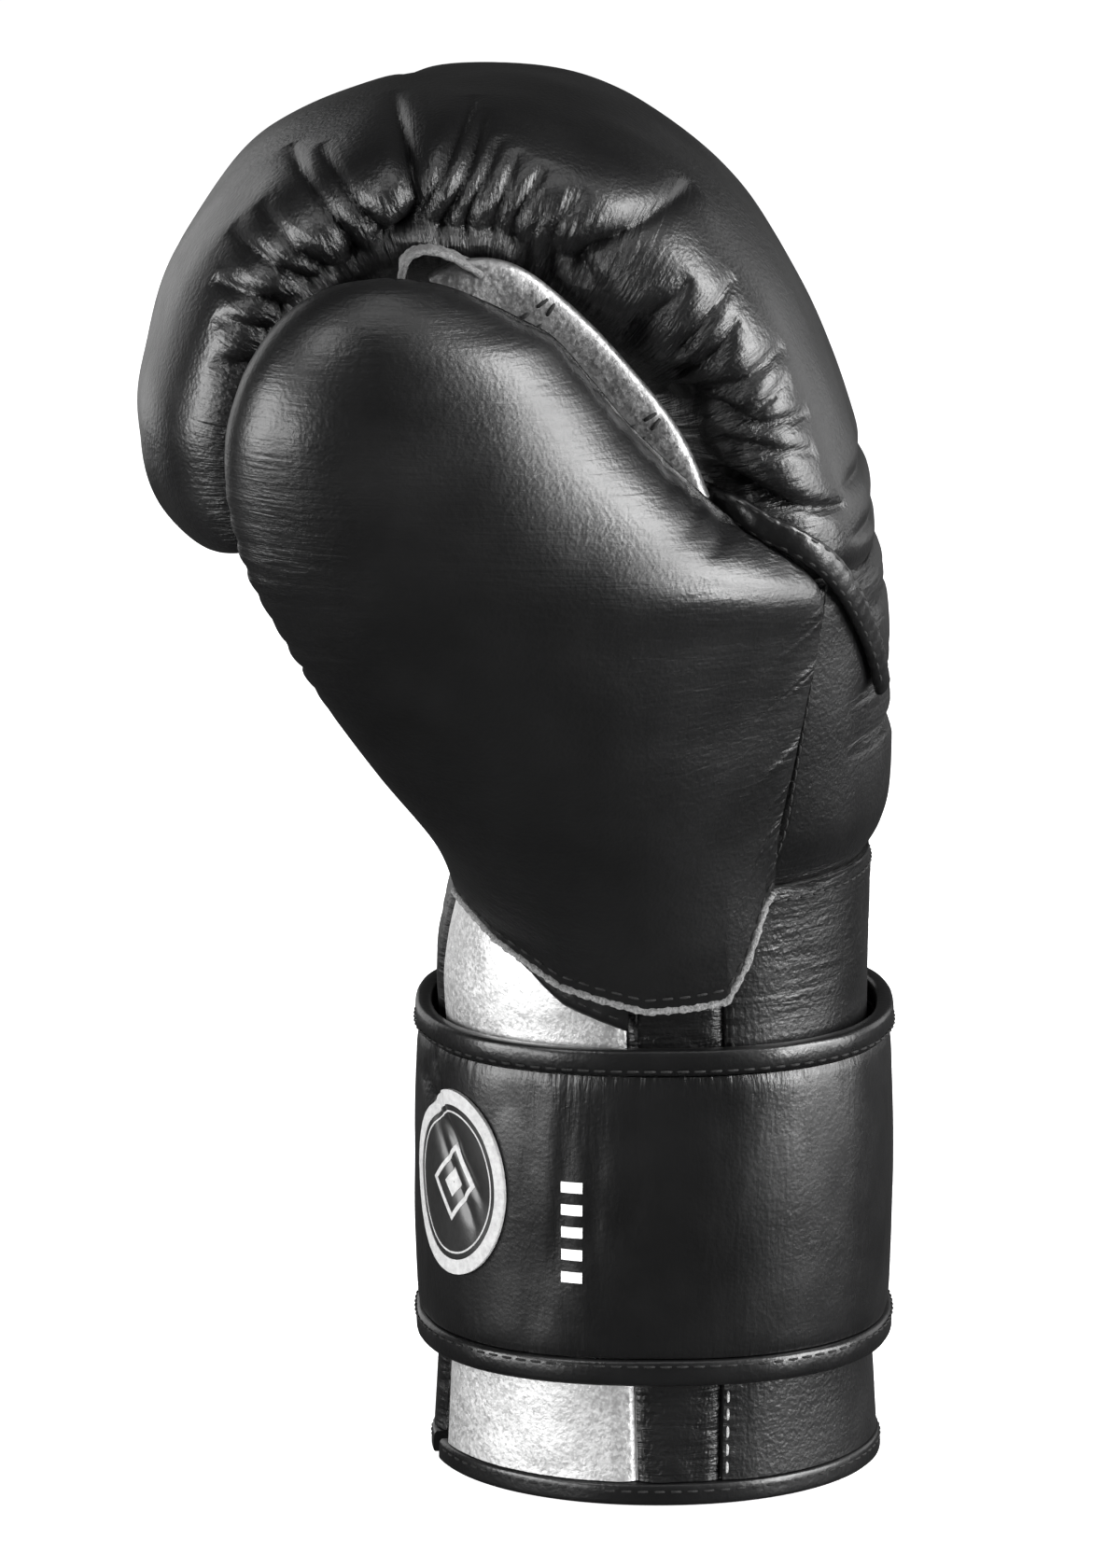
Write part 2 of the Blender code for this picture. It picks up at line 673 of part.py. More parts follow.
def surface_path(stations, offset, count):
    """A smooth path along the wall, a distance off it, through places given as row and angle."""
    places = smooth_path([(at, degrees, 0) for at, degrees in stations], count)
    return np.array([section(at, degrees, grow=offset) for at, degrees, _ in places])


def slit_cutter():
    """The opening between palm and heel, from the rim to the strap's upper edge."""
    low = np.array(section(0.0, HEEL_SEAM))
    high = np.array(section(level("cuff_top"), HEEL_SEAM))
    path = np.array([low + s * (high - low) for s in (-0.1, 0.3, 0.7, 1.0)])
    return plug("slit_cutter", bar_rings(path, SLIT_WIDTH / 2, 0.15 * WRIST_DEPTH, (1, 0, 0), 12))


def move_to_origin(pieces, cutters):
    """Puts the origin under the middle of the glove's box, where it stands."""
    corners = np.array([v.co for piece in pieces for v in piece.data.vertices])
    low = corners.min(axis=0)
    high = corners.max(axis=0)
    for thing in pieces + cutters:
        thing.location = (-(low[0] + high[0]) / 2, -(low[1] + high[1]) / 2, -low[2])


def main():
    for old in list(bpy.data.objects):
        bpy.data.objects.remove(old)
    black = material("black_leather", BLACK, 0.35)
    silver = material("silver_leather", SILVER, 0.3, 0.9)
    trim = material("binding_leather", BLACK, 0.45)
    raw = material("raw_edge", GREY, 0.8)
    print_grey = material("patch_print", SILVER, 0.5)

    foot = level_at(BINDING_HEIGHT)
    top = level("finger_base")
    groove = level("groove")
    round_again = 360
    fist = fist_pad(black)
    palm = panel("palm_panel", foot, top, HEEL_SEAM, PALM_SEAM, 9, silver)
    heel = panel("heel_panel", foot, top, LITTLE_FINGER_SEAM, HEEL_SEAM, 10, black)
    gusset = panel("gusset_panel", foot, groove, PALM_SEAM, GUSSET_SEAM, 5, black)
    wrist = panel("wrist_panel", foot, groove, GUSSET_SEAM, LITTLE_FINGER_SEAM + round_again, 17, black)
    back = panel(
        "back_panel", groove, top, PALM_SEAM, LITTLE_FINGER_SEAM + round_again, 20, black, shape=rib_depth
    )
    rim_gap = math.degrees(SLIT_WIDTH / WRIST_DEPTH)
    binding = panel(
        "cuff_binding",
        0.0,
        foot,
        HEEL_SEAM + rim_gap,
        HEEL_SEAM + round_again - rim_gap,
        38,
        trim,
        rolled="",
        proud=BINDING_PROUD,
    )
    slit = slit_cutter()
    cut(palm, slit)
    cut(heel, slit)

    hand_outside = envelope(GAP)
    thumb_outside = plug("thumb_outside", thumb_rings(26, 22, grow=GAP))
    bore = thumb_bore()
    for piece in (palm, back, gusset):
        cut(piece, bore)
    thumb = plug("thumb_pad", thumb_rings(26, 22), black)
    cut(thumb, hand_outside)
    cut(thumb, bore)
    welt = thumb_welt("thumb_welt", finish=trim)
    welt_outside = thumb_welt("welt_outside", grow=GAP)
    strip = thumb_strip("thumb_strip", finish=silver)
    strip_outside = thumb_strip("strip_outside", grow=GAP)
    tab = strip_tab(raw)
    cut(tab, strip_outside)
    for piece in (strip, tab):
        cut(piece, hand_outside)
        cut(piece, thumb_outside)
    cut(thumb, welt_outside)
    cut(strip, welt_outside)
    facing = palm_facing(trim)
    cut(facing, thumb_outside)

    strap = strap_band(
        "wrist_strap",
        STRAP_BASE + STRAP_BINDING + GAP / 2,
        STRAP_BASE + STRAP_HEIGHT - STRAP_BINDING - GAP / 2,
        0.0,
        black,
    )
    lower = strap_band(
        "strap_binding_low", STRAP_BASE, STRAP_BASE + STRAP_BINDING - GAP / 2, BINDING_PROUD, trim
    )
    upper = strap_band(
        "strap_binding_high",
        STRAP_BASE + STRAP_HEIGHT - STRAP_BINDING + GAP / 2,
        STRAP_BASE + STRAP_HEIGHT,
        BINDING_PROUD,
        trim,
    )
    patch = strap_patch(print_grey)
    pieces = [fist, palm, heel, gusset, wrist, back, binding, thumb, strip, tab, welt, facing]
    pieces += [strap, lower, upper, patch]
    move_to_origin(pieces, [slit, hand_outside, thumb_outside, strip_outside, welt_outside, bore])


main()
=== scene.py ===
"""Looks of the padded sparring glove: its leather, gathers, seams, strap and studio.

X runs from the palm (-) to the back of the hand (+), Y from the thumb's side (-) to the little
finger's side (+), and Z up, in metres. Places on the hand's wall are given as a row, which counts the
sections from the rim to the finger tips, and an angle round the section in degrees: 0 is the back of
the hand, 90 the little finger's side, 180 the palm and 270 the thumb's side.
"""

import math
from collections import namedtuple

import bmesh
import bpy
import numpy as np
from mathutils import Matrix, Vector, noise
from mathutils.bvhtree import BVHTree


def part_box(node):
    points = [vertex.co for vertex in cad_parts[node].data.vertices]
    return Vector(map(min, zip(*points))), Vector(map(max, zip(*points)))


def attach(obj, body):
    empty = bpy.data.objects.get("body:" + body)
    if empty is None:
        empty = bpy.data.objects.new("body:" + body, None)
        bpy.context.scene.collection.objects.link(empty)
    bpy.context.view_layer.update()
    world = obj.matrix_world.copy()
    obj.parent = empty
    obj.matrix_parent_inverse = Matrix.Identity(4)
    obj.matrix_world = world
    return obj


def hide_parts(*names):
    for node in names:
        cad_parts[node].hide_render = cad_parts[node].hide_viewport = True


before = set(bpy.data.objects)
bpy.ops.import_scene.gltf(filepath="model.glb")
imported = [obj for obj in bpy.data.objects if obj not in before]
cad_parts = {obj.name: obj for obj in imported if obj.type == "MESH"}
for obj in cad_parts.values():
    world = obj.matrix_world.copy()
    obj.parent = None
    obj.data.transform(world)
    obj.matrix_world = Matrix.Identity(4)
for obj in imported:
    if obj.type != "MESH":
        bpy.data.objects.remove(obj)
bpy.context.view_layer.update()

# The solid model's sizes, in metres
WRIST_DEPTH = 0.094
WRIST_WIDTH = 0.100
CUFF_HEIGHT = 0.0946
HAND_RISE = 0.113
FIST_RISE = 0.100
FIST_REACH = 0.165
FIST_WIDTH = 0.124
BACK_SHARE = 0.548
GAP = 0.0003
SEAM_ROLL = 0.0022
SEAM_REACH = 0.007
SLIT_WIDTH = 0.0055
STRAP_BASE = 0.0276
STRAP_HEIGHT = 0.075
STRAP_THICKNESS = 0.0030
STRAP_CLEARANCE = 0.0012
STRAP_BINDING = 0.006
STRAP_START = 96
STRAP_TURN = 404
STRAP_LAP = 26
BINDING_PROUD = 0.0005
PATCH_HEIGHT = 0.041
PATCH_BREADTH = 0.031
PATCH_CENTRE = 217
WELT_DIAMETER = 0.0036

# Angles of the seams that run up the glove
LITTLE_FINGER_SEAM = 98
HEEL_SEAM = 192
PALM_SEAM = 265
GUSSET_SEAM = 286
BUTT_SEAM = 292.5

# Sizes of what the leather does, in metres
FOLD_DEPTH = 0.0086
FOLD_WIDTH = 0.0027
FOLD_PITCH = 0.022
VALLEY_ROUNDING = 0.0003
COVER_THICKNESS = 0.0016
STRIP_HALF_THICKNESS = 0.0030
RIM_TOP = 0.0068
HAND_GIRTH = 0.36

# Stitches, in metres
STITCH_LENGTH = 0.0026
STITCH_THICKNESS = 0.00062
STITCH_PITCH = 0.0036
CLOSE_PITCH = 0.0028
STITCH_LIFT = 0.0001

# How square the fist's sections are beside the solid's
FIST_SOFTNESS = 0.79

# Uneven leather: how deep and about how large, in metres, and the seed of its pattern
Uneven = namedtuple("Uneven", "depth size seed")
FIST_LUMPS = Uneven(0.0007, 0.022, 3.0)
FIST_WRINKLES = Uneven(0.0005, 0.012, 9.0)
BACK_LUMPS = Uneven(0.0006, 0.020, 5.0)
BACK_PUCKERS = Uneven(0.0006, 0.006, 2.0)
WRIST_LUMPS = Uneven(0.0004, 0.030, 1.0)
WRIST_WRINKLES = Uneven(0.0007, 0.012, 7.0)
SILVER_LUMPS = Uneven(0.0006, 0.020, 8.0)
SILVER_WRINKLES = Uneven(0.0005, 0.014, 4.0)
GUSSET_WRINKLES = Uneven(0.0017, 0.008, 6.0)
THUMB_LUMPS = Uneven(0.0007, 0.030, 11.0)
STRIP_WRINKLES = Uneven(0.0004, 0.006, 12.0)
FACING_WRINKLES = Uneven(0.0004, 0.006, 15.0)
STRAP_LUMPS = Uneven(0.0003, 0.018, 2.0)
STRAP_WRINKLES = Uneven(0.0007, 0.009, 21.0)

# Rows near the rim: the foot of the panels, the binding's upper edge and its stitches
FOOT_ROW = 0.224
BINDING_ROW = 0.217
BINDING_STITCH_ROW = 0.155

# How finely the large pieces are cut, in lines along and round them
SEAM_LINES = 8
GATHER_LINES = 360
END_LINES = 34
FIST_COLUMNS = 226
THUMB_LINES = 236
THUMB_COLUMNS = 170
STRIP_LINES = 150
STRAP_LINES = 62

# The gathered stretches of the fist's two sides, in degrees
NEAR_GATHERS = (215, 352)
FAR_GATHERS = (10, 145)

# The section table: one row for each section of the wall, as in the solid model
Row = namedtuple("Row", "name in_x in_z out_x out_z width square hollow_in hollow_out hollow_width")

# x in shares of WRIST_DEPTH, z of CUFF_HEIGHT, width of half WRIST_WIDTH
CUFF_ROWS = [
    Row("rim", -0.525, 0.00, 0.530, 0.00, 1.02, 2.05, 0.040, 0.960, 0.925),
    Row("cuff_low", -0.508, 0.33, 0.508, 0.33, 1.00, 2.20, 0.042, 0.958, 0.920),
    Row("cuff_mid", -0.504, 0.67, 0.500, 0.67, 0.99, 2.35, 0.044, 0.955, 0.915),
    Row("cuff_top", -0.508, 1.00, 0.495, 1.00, 0.99, 2.35, 0.046, 0.945, 0.905),
]

# x in shares of WRIST_DEPTH, z of HAND_RISE, width of half WRIST_WIDTH
HAND_ROWS = [
    Row("wrist", -0.515, 0.168, 0.497, 0.186, 1.00, 2.35, 0.050, 0.920, 0.89),
    Row("groove", -0.475, 0.327, 0.507, 0.381, 1.01, 2.40, 0.058, 0.870, 0.89),
    Row("heel", -0.404, 0.451, 0.543, 0.496, 1.06, 2.45, 0.060, 0.800, 0.88),
    Row("palm", -0.319, 0.602, 0.548, 0.664, 1.13, 2.50, 0.062, 0.750, 0.87),
    Row("metacarpal", -0.190, 0.796, 0.540, 0.841, 1.18, 2.60, 0.075, 0.700, 0.85),
]

# x in shares of FIST_REACH in from the back of the hand, z of FIST_RISE, width of half FIST_WIDTH
FIST_ROWS = [
    Row("finger_base", 0.330, -0.03, 0.018, -0.01, 0.975, 2.7, 0.090, 0.620, 0.83),
    Row("knuckle", 0.282, 0.12, 0.039, 0.16, 0.990, 2.8, 0.110, 0.580, 0.82),
    Row("crown_a", 0.294, 0.23, 0.079, 0.37, 1.000, 2.9, 0.110, 0.560, 0.81),
    Row("crown_b", 0.336, 0.33, 0.148, 0.61, 1.000, 3.0, 0.105, 0.540, 0.80),
    Row("crown_c", 0.397, 0.42, 0.252, 0.82, 1.000, 3.0, 0.100, 0.530, 0.80),
    Row("crown_d", 0.470, 0.51, 0.379, 0.95, 1.000, 3.0, 0.100, 0.530, 0.80),
    Row("crown_top", 0.542, 0.56, 0.530, 0.995, 1.000, 3.0, 0.100, 0.530, 0.80),
    Row("front_a", 0.621, 0.57, 0.688, 0.96, 1.000, 3.0, 0.100, 0.530, 0.80),
    Row("front_b", 0.688, 0.51, 0.839, 0.84, 0.995, 3.0, 0.100, 0.530, 0.79),
    Row("front_c", 0.730, 0.41, 0.942, 0.62, 0.990, 3.0, 0.105, 0.520, 0.78),
    Row("front_d", 0.748, 0.29, 0.991, 0.37, 0.980, 2.9, 0.120, 0.500, 0.74),
    Row("finger_tips", 0.745, 0.21, 0.996, 0.22, 0.960, 2.8, 0.160, 0.440, 0.60),
    Row("end_a", 0.750, 0.12, 0.975, 0.10, 0.930, 2.7, 0.200, 0.400, 0.50),
    Row("end_b", 0.776, 0.055, 0.932, 0.03, 0.850, 2.6, 0.200, 0.400, 0.40),
    Row("end_c", 0.821, 0.025, 0.882, 0.02, 0.640, 2.5, 0.200, 0.400, 0.30),
]

# The gathers on the thumb's side of the fist. Each valley runs from its outer end through a middle
# place to its inner end, given as rows and angles, and its depth and width are shares of the sizes.
Fold = namedtuple("Fold", "outer_row outer middle_row middle inner_row inner depth width")
FOLDS = [
    Fold(9.90, 312, 10.12, 272, 10.52, 236, 0.75, 1.0),
    Fold(10.62, 300, 10.80, 275, 11.05, 250, 0.40, 0.9),
    Fold(11.00, 305, 11.10, 280, 11.40, 258, 0.55, 1.0),
    Fold(11.40, 301, 11.40, 265, 11.78, 234, 0.45, 0.9),
    Fold(11.64, 308, 11.66, 270, 11.88, 229, 0.65, 1.1),
    Fold(12.12, 292, 12.04, 271, 12.14, 238, 0.60, 1.0),
    Fold(12.38, 305, 12.36, 280, 12.34, 259, 0.40, 0.9),
    Fold(12.72, 285, 12.76, 270, 12.88, 246, 0.50, 1.0),
    Fold(13.06, 330, 13.50, 287, 13.84, 256, 0.90, 1.4),
    Fold(14.04, 292, 14.18, 273, 14.18, 248, 0.55, 1.0),
    Fold(14.00, 280, 14.08, 268, 14.04, 256, 0.35, 0.8),
    Fold(14.36, 286, 14.42, 269, 14.46, 250, 0.40, 0.8),
    Fold(14.46, 300, 14.60, 277, 14.66, 257, 0.60, 1.0),
    Fold(14.74, 305, 14.80, 286, 14.90, 262, 0.60, 1.0),
    Fold(14.90, 312, 15.06, 285, 15.20, 259, 0.65, 1.0),
    Fold(15.04, 328, 15.26, 284, 15.48, 259, 0.80, 1.1),
    Fold(15.14, 339, 15.42, 294, 15.70, 264, 0.60, 1.0),
    Fold(15.80, 352, 15.70, 297, 15.94, 262, 1.00, 1.3),
    Fold(16.44, 328, 16.26, 282, 16.16, 254, 0.75, 1.1),
    Fold(16.68, 340, 16.54, 286, 16.52, 252, 0.75, 1.1),
    Fold(17.06, 312, 16.96, 270, 16.88, 258, 0.60, 1.0),
    Fold(17.40, 315, 17.24, 274, 17.12, 258, 0.65, 1.0),
    Fold(17.78, 306, 17.60, 275, 17.54, 262, 0.60, 1.0),
    Fold(18.02, 292, 17.92, 274, 17.84, 264, 0.45, 0.9),
    Fold(18.42, 285, 18.34, 274, 18.26, 264, 0.30, 0.9),
]
FAR_SIDE_SHARE = 0.8

# Small folds beside them, drawn at random: how many on a side, how far away in rows, and their shares
STRAY_FOLDS = 50
STRAY_SHIFT = 0.32
STRAY_DEPTH = (0.04, 0.13)
STRAY_WIDTH = (0.25, 0.5)

# The stitched grooves across the back of the hand, by row, with their strength as a share
RIBS = [(6.88, 0.80), (7.40, 0.90), (8.38, 1.00), (9.46, 0.60), (10.08, 0.60)]
RIB_DEPTH = 0.0024
RIB_HALF_WIDTH = 0.075

# The thumb's cover from the raw edge at the wrist to its tip, in shares of the thumb solid's box:
# its left and right ends, how far its middle sags, how far it bulges out and in, and how round its
# right side is, from 1 where it lies flush at the seam to 2.05 where it turns in.
Cover = namedtuple("Cover", "left_x left_y left_z right_x right_y right_z sag out inward round")
COVER_ROWS = [
    Cover(0.381, 1.167, 0.130, 0.937, 0.847, 0.156, 0.151, 0.236, 0.051, 1.00),
    Cover(0.348, 0.796, 0.225, 0.945, 0.796, 0.244, 0.094, 0.202, 0.101, 1.00),
    Cover(0.252, 0.627, 0.332, 0.969, 0.745, 0.338, 0.044, 0.287, 0.169, 1.04),
    Cover(0.163, 0.492, 0.439, 0.990, 0.720, 0.426, 0.019, 0.337, 0.236, 1.12),
    Cover(0.090, 0.391, 0.540, 1.010, 0.686, 0.514, 0.000, 0.371, 0.270, 1.26),
    Cover(0.034, 0.341, 0.628, 1.002, 0.627, 0.596, 0.000, 0.396, 0.287, 1.44),
    Cover(0.002, 0.324, 0.722, 0.848, 0.594, 0.691, 0.000, 0.422, 0.270, 1.64),
    Cover(-0.002, 0.307, 0.810, 0.703, 0.560, 0.798, 0.000, 0.422, 0.236, 1.84),
    Cover(0.019, 0.307, 0.877, 0.623, 0.530, 0.873, 0.000, 0.398, 0.200, 2.05),
    Cover(0.045, 0.310, 0.921, 0.558, 0.500, 0.933, 0.000, 0.354, 0.170, 2.05),
    Cover(0.085, 0.315, 0.965, 0.494, 0.470, 0.964, 0.000, 0.292, 0.135, 2.05),
    Cover(0.133, 0.322, 0.996, 0.429, 0.435, 0.991, 0.000, 0.214, 0.095, 2.05),
    Cover(0.190, 0.330, 1.016, 0.356, 0.395, 1.014, 0.000, 0.124, 0.050, 2.05),
    Cover(0.262, 0.338, 1.024, 0.274, 0.345, 1.024, 0.000, 0.012, 0.006, 2.05),
]
# The hem's line: share of the way from left to right, and share of the sag
HEM = [
    (0.0, 0.0), (0.13, 0.35), (0.33, 0.75), (0.45, 0.87), (0.60, 1.0), (0.74, 0.99),
    (0.855, 0.96), (0.913, 0.65), (0.971, 0.12), (1.0, 0.0),
]
COVER_SQUARE = 2.05
SCALLOP_PITCH = 0.0064
SCALLOP_HEIGHT = 0.0011
SCALLOP_FADE = 0.007

# Creases that run in from the cover's upper right edge: where each starts, as a share of that edge
# from the hem, its length and its depth in metres
Crease = namedtuple("Crease", "start length depth")
THUMB_CREASES = [
    Crease(0.515, 0.018, 0.0019),
    Crease(0.555, 0.016, 0.0016),
    Crease(0.600, 0.012, 0.0012),
    Crease(0.640, 0.008, 0.0006),
    Crease(0.685, 0.008, 0.0006),
    Crease(0.725, 0.007, 0.0007),
    Crease(0.770, 0.007, 0.0006),
    Crease(0.815, 0.006, 0.0005),
    Crease(0.850, 0.006, 0.0005),
]
CREASE_WIDTH = 0.0030

# Small puckers along the whole of that edge, drawn at random
PUCKER_COUNT = 60
PUCKER_DEPTH = 0.0006
PUCKER_WIDTH = 0.0011
PUCKER_REACH = 0.0055

# The strip along the crease between thumb and fist, from its upper end: its place in shares of its
# solid's box, and half its breadth in metres
Station = namedtuple("Station", "x y z half")
STRIP_STATIONS = [
    Station(0.060, 0.62, 0.868, 0.0050),
    Station(0.150, 0.66, 0.890, 0.0066),
    Station(0.240, 0.74, 0.862, 0.0078),
    Station(0.330, 0.82, 0.772, 0.0084),
    Station(0.427, 0.88, 0.655, 0.0087),
    Station(0.522, 0.90, 0.525, 0.0087),
    Station(0.607, 0.90, 0.408, 0.0084),
    Station(0.682, 0.88, 0.304, 0.0074),
    Station(0.750, 0.84, 0.214, 0.0052),
    Station(0.806, 0.80, 0.150, 0.0026),
]
STRIP_SQUARE = 2.6
# Which of the strip's lines a cross stitch sits on
STRIP_STITCHES = (46, 53, 99, 106)

TAB_STATIONS = [(16.10, 232), (16.04, 245), (15.88, 254), (15.66, 256), (15.40, 252), (15.10, 244)]
WELT_STATIONS = [
    (10.30, 222), (10.10, 252), (9.62, 275), (9.26, 290), (8.78, 304), (8.14, 318), (7.50, 328)
]
Edge = namedtuple("Edge", "degrees low high")
FACING_EDGES = [
    Edge(219, 4.72, 4.90),
    Edge(230, 4.46, 4.80),
    Edge(240, 4.20, 4.60),
    Edge(250, 3.85, 4.40),
    Edge(265.5, 3.54, 4.08),
]

# One stitch from end to end: shares of its half length, of its thickness, and how far it lifts
StitchRing = namedtuple("StitchRing", "along radius lift")
STITCH_RINGS = [
    StitchRing(-1.0, 0.35, -0.9),
    StitchRing(-0.72, 0.85, -0.05),
    StitchRing(0.0, 1.0, 0.25),
    StitchRing(0.72, 0.85, -0.05),
    StitchRing(1.0, 0.35, -0.9),
]

# Sewn lines on the wall: (row, degrees) places, how far off the smooth wall they lie, and their pitch
SewnLine = namedtuple("SewnLine", "name stations lift pitch")
SEWN_LINES = [
    SewnLine(
        "butt_stitches",
        [
            (9.02, BUTT_SEAM), (8.1, BUTT_SEAM + 0.5), (7.2, BUTT_SEAM + 0.5), (6.2, BUTT_SEAM + 0.1),
            (5.25, BUTT_SEAM + 0.1),
        ],
        0.0003,
        CLOSE_PITCH,
    ),
    SewnLine("groove_stitches", [(4.84, a) for a in (296, 330, 390, 455)], -0.0002, STITCH_PITCH),
    SewnLine("cuff_seam_palm", [(u, PALM_SEAM + 1.6) for u in (0.26, 0.9, 1.2)], 0.0, STITCH_PITCH),
    SewnLine("cuff_seam_gusset", [(u, GUSSET_SEAM + 1) for u in (0.26, 0.9, 1.2)], 0.0, STITCH_PITCH),
    SewnLine("wrist_seam_palm", [(u, PALM_SEAM + 2) for u in (3.2, 3.6, 3.98)], -0.0003, STITCH_PITCH),
    SewnLine("wrist_seam_gusset", [(u, GUSSET_SEAM + 1.6) for u in (3.2, 3.6, 4.02)], 0.0, STITCH_PITCH),
]
SEWN_RIBS = 3

# Folds in the strap: each runs from its start angle at its top down to its end angle at its foot.
# Three slant by the palm and three stand upright beside the printed bars.
StrapFold = namedtuple("StrapFold", "start top end foot share")
STRAP_FOLDS = [
    StrapFold(203, 0.093, 228, 0.066, 1.20),
    StrapFold(206, 0.084, 226, 0.060, 1.00),
    StrapFold(198, 0.088, 218, 0.078, 1.00),
    StrapFold(243, 0.092, 246, 0.040, 0.40),
    StrapFold(252, 0.094, 250, 0.052, 0.45),
    StrapFold(259, 0.090, 258, 0.060, 0.35),
]
STRAP_FOLD_DEPTH = 0.0012
STRAP_FOLD_WIDTH = 0.0022
WORN_ANGLE = 248
WORN_SPREAD = 16

# The printed bars on the strap, from the top one down
BAR_COUNT = 5
BAR_TOP = 0.0718
BAR_PITCH = 0.0050
BAR_HALF_HEIGHT = 0.0012
BAR_START = 250.6
BAR_END = 255.8
BAR_THICKNESS = 0.0001

# The patch's flat pieces, one over the other
PRINT_LIFT = 0.00025
PATCH_THICKNESS = 0.0007
LINE_THICKNESS = 0.0008
BORDER_THICKNESS = 0.00085
PATCH_CENTRE_SHARE = 0.55

# The camera, as seen from the glove's middle
CAMERA_DISTANCE = 2.2
CAMERA_DROP = 12
CAMERA_LENS = 230
AIM = (0.0092, 0.0177, 0.1498)

# Area lights: place and size in metres, power in watts. The low ones light the upright walls.
Light = namedtuple("Light", "name place size power")
LIGHTS = [
    Light("left_soft", (-1.38, -0.48, 0.34), (0.8, 0.75), 25),
    Light("right_soft", (1.28, -0.38, 0.95), (0.65, 0.8), 34),
    Light("right_side", (1.42, -0.04, 0.36), (0.8, 0.85), 18),
    Light("left_low", (-1.05, -1.12, 0.20), (0.2, 0.4), 7),
    Light("right_low", (1.20, -0.66, 0.22), (0.28, 0.42), 15),
    Light("top_left", (-0.70, -0.75, 1.35), (0.5, 0.5), 7),
    Light("top_soft", (0.15, -0.25, 1.7), (0.9, 0.7), 5),
    Light("back_left", (-0.9, 1.5, 0.45), (0.9, 1.2), 4),
    Light("back_right", (1.2, 1.1, 0.45), (0.9, 0.9), 3),
]
LIGHTS_AIM = (0.0, 0.0, 0.16)
FLOOR_RADIUS = 9.0
FLOOR_DROP = 0.0005


def placed_rows():
    """The section table in metres, one list of numbers for each row. Its last columns stay shares."""
    table = []
    half_wrist = WRIST_WIDTH / 2
    half_fist = FIST_WIDTH / 2
    knuckle_z = CUFF_HEIGHT + HAND_RISE
    back_x = BACK_SHARE * WRIST_DEPTH
    for rows, base, rise in ((CUFF_ROWS, 0.0, CUFF_HEIGHT), (HAND_ROWS, CUFF_HEIGHT, HAND_RISE)):
        for r in rows:
            palm = [r.in_x * WRIST_DEPTH, base + r.in_z * rise]
            back = [r.out_x * WRIST_DEPTH, base + r.out_z * rise]
            table.append([*palm, *back, r.width * half_wrist, *r[6:]])
    for r in FIST_ROWS:
        palm = [back_x - r.in_x * FIST_REACH, knuckle_z + r.in_z * FIST_RISE]
        back = [back_x - r.out_x * FIST_REACH, knuckle_z + r.out_z * FIST_RISE]
        table.append([*palm, *back, r.width * half_fist, *r[6:]])
    return np.array(table)


TABLE = placed_rows()
NAMES = [r.name for r in CUFF_ROWS + HAND_ROWS + FIST_ROWS]
rng = np.random.default_rng(14)

# The padded fist's skin is rounder than the solid's, from the knuckles on
TABLE[NAMES.index("knuckle"), 5] *= (1 + FIST_SOFTNESS) / 2
TABLE[NAMES.index("crown_a"):, 5] *= FIST_SOFTNESS


def table_origin():
    """Where the section table's own origin lies in the frame: both hold the cuff's binding."""
    low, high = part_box("cuff_binding")
    rim_middle = (CUFF_ROWS[0].in_x + CUFF_ROWS[0].out_x) / 2 * WRIST_DEPTH
    return np.array([(low[0] + high[0]) / 2 - rim_middle, (low[1] + high[1]) / 2, 0.0])


ORIGIN = table_origin()


def level(name):
    """A named section's place along the glove, in rows."""
    return float(NAMES.index(name))


def blend_rows(table, at):
    """A smooth curve through a table's rows, read at places in rows."""
    at = np.asarray(at, float)
    last = len(table) - 1
    i = np.clip(at.astype(int), 0, last - 1)
    t = (at - i)[..., None]
    p0, p1, p2, p3 = (table[np.clip(i + k, 0, last)] for k in (-1, 0, 1, 2))
    square = 2 * p0 - 5 * p1 + 4 * p2 - p3
    cube = 3 * p1 - p0 - 3 * p2 + p3
    return 0.5 * (2 * p1 + (p2 - p0) * t + square * t**2 + cube * t**3)


def bulged(value, square):
    """Cosines or sines pushed towards a square's side, as in a superellipse."""
    return np.sign(value) * np.abs(value) ** (2 / square)


def section(at, degrees, hollow=False, grow=0.0):
    """Points of the wall at places along the glove and angles round it."""
    at, degrees = np.broadcast_arrays(np.asarray(at, float), np.asarray(degrees, float))
    values = np.moveaxis(blend_rows(TABLE, at), -1, 0)
    in_x, in_z, out_x, out_z, half, square, h_in, h_out, h_width = values
    palm = np.stack([in_x, in_z], axis=-1)
    back = np.stack([out_x, out_z], axis=-1)
    way = back - palm
    if hollow:
        palm, back = palm + h_in[..., None] * way, palm + h_out[..., None] * way
        half = half * h_width
    step = grow * way / np.linalg.norm(way, axis=-1, keepdims=True)
    palm, back, half = palm - step, back + step, half + grow
    angle = np.radians(degrees)
    share = (1 + bulged(np.cos(angle), square)) / 2
    flat = palm + share[..., None] * (back - palm)
    y = half * bulged(np.sin(angle), square)
    return np.stack([flat[..., 0], y, flat[..., 1]], axis=-1) + ORIGIN


def unit(vectors):
    return vectors / np.maximum(np.linalg.norm(vectors, axis=-1, keepdims=True), 1e-9)


def outward(at, degrees):
    """Unit normals of the wall, pointing away from the hand space."""
    at, degrees = np.broadcast_arrays(np.asarray(at, float), np.asarray(degrees, float))
    around = section(at, degrees + 0.5) - section(at, degrees - 0.5)
    along = section(at + 0.02, degrees) - section(at - 0.02, degrees)
    return unit(np.cross(around, along))


def smooth_step(t):
    t = np.clip(t, 0.0, 1.0)
    return t * t * (3 - 2 * t)


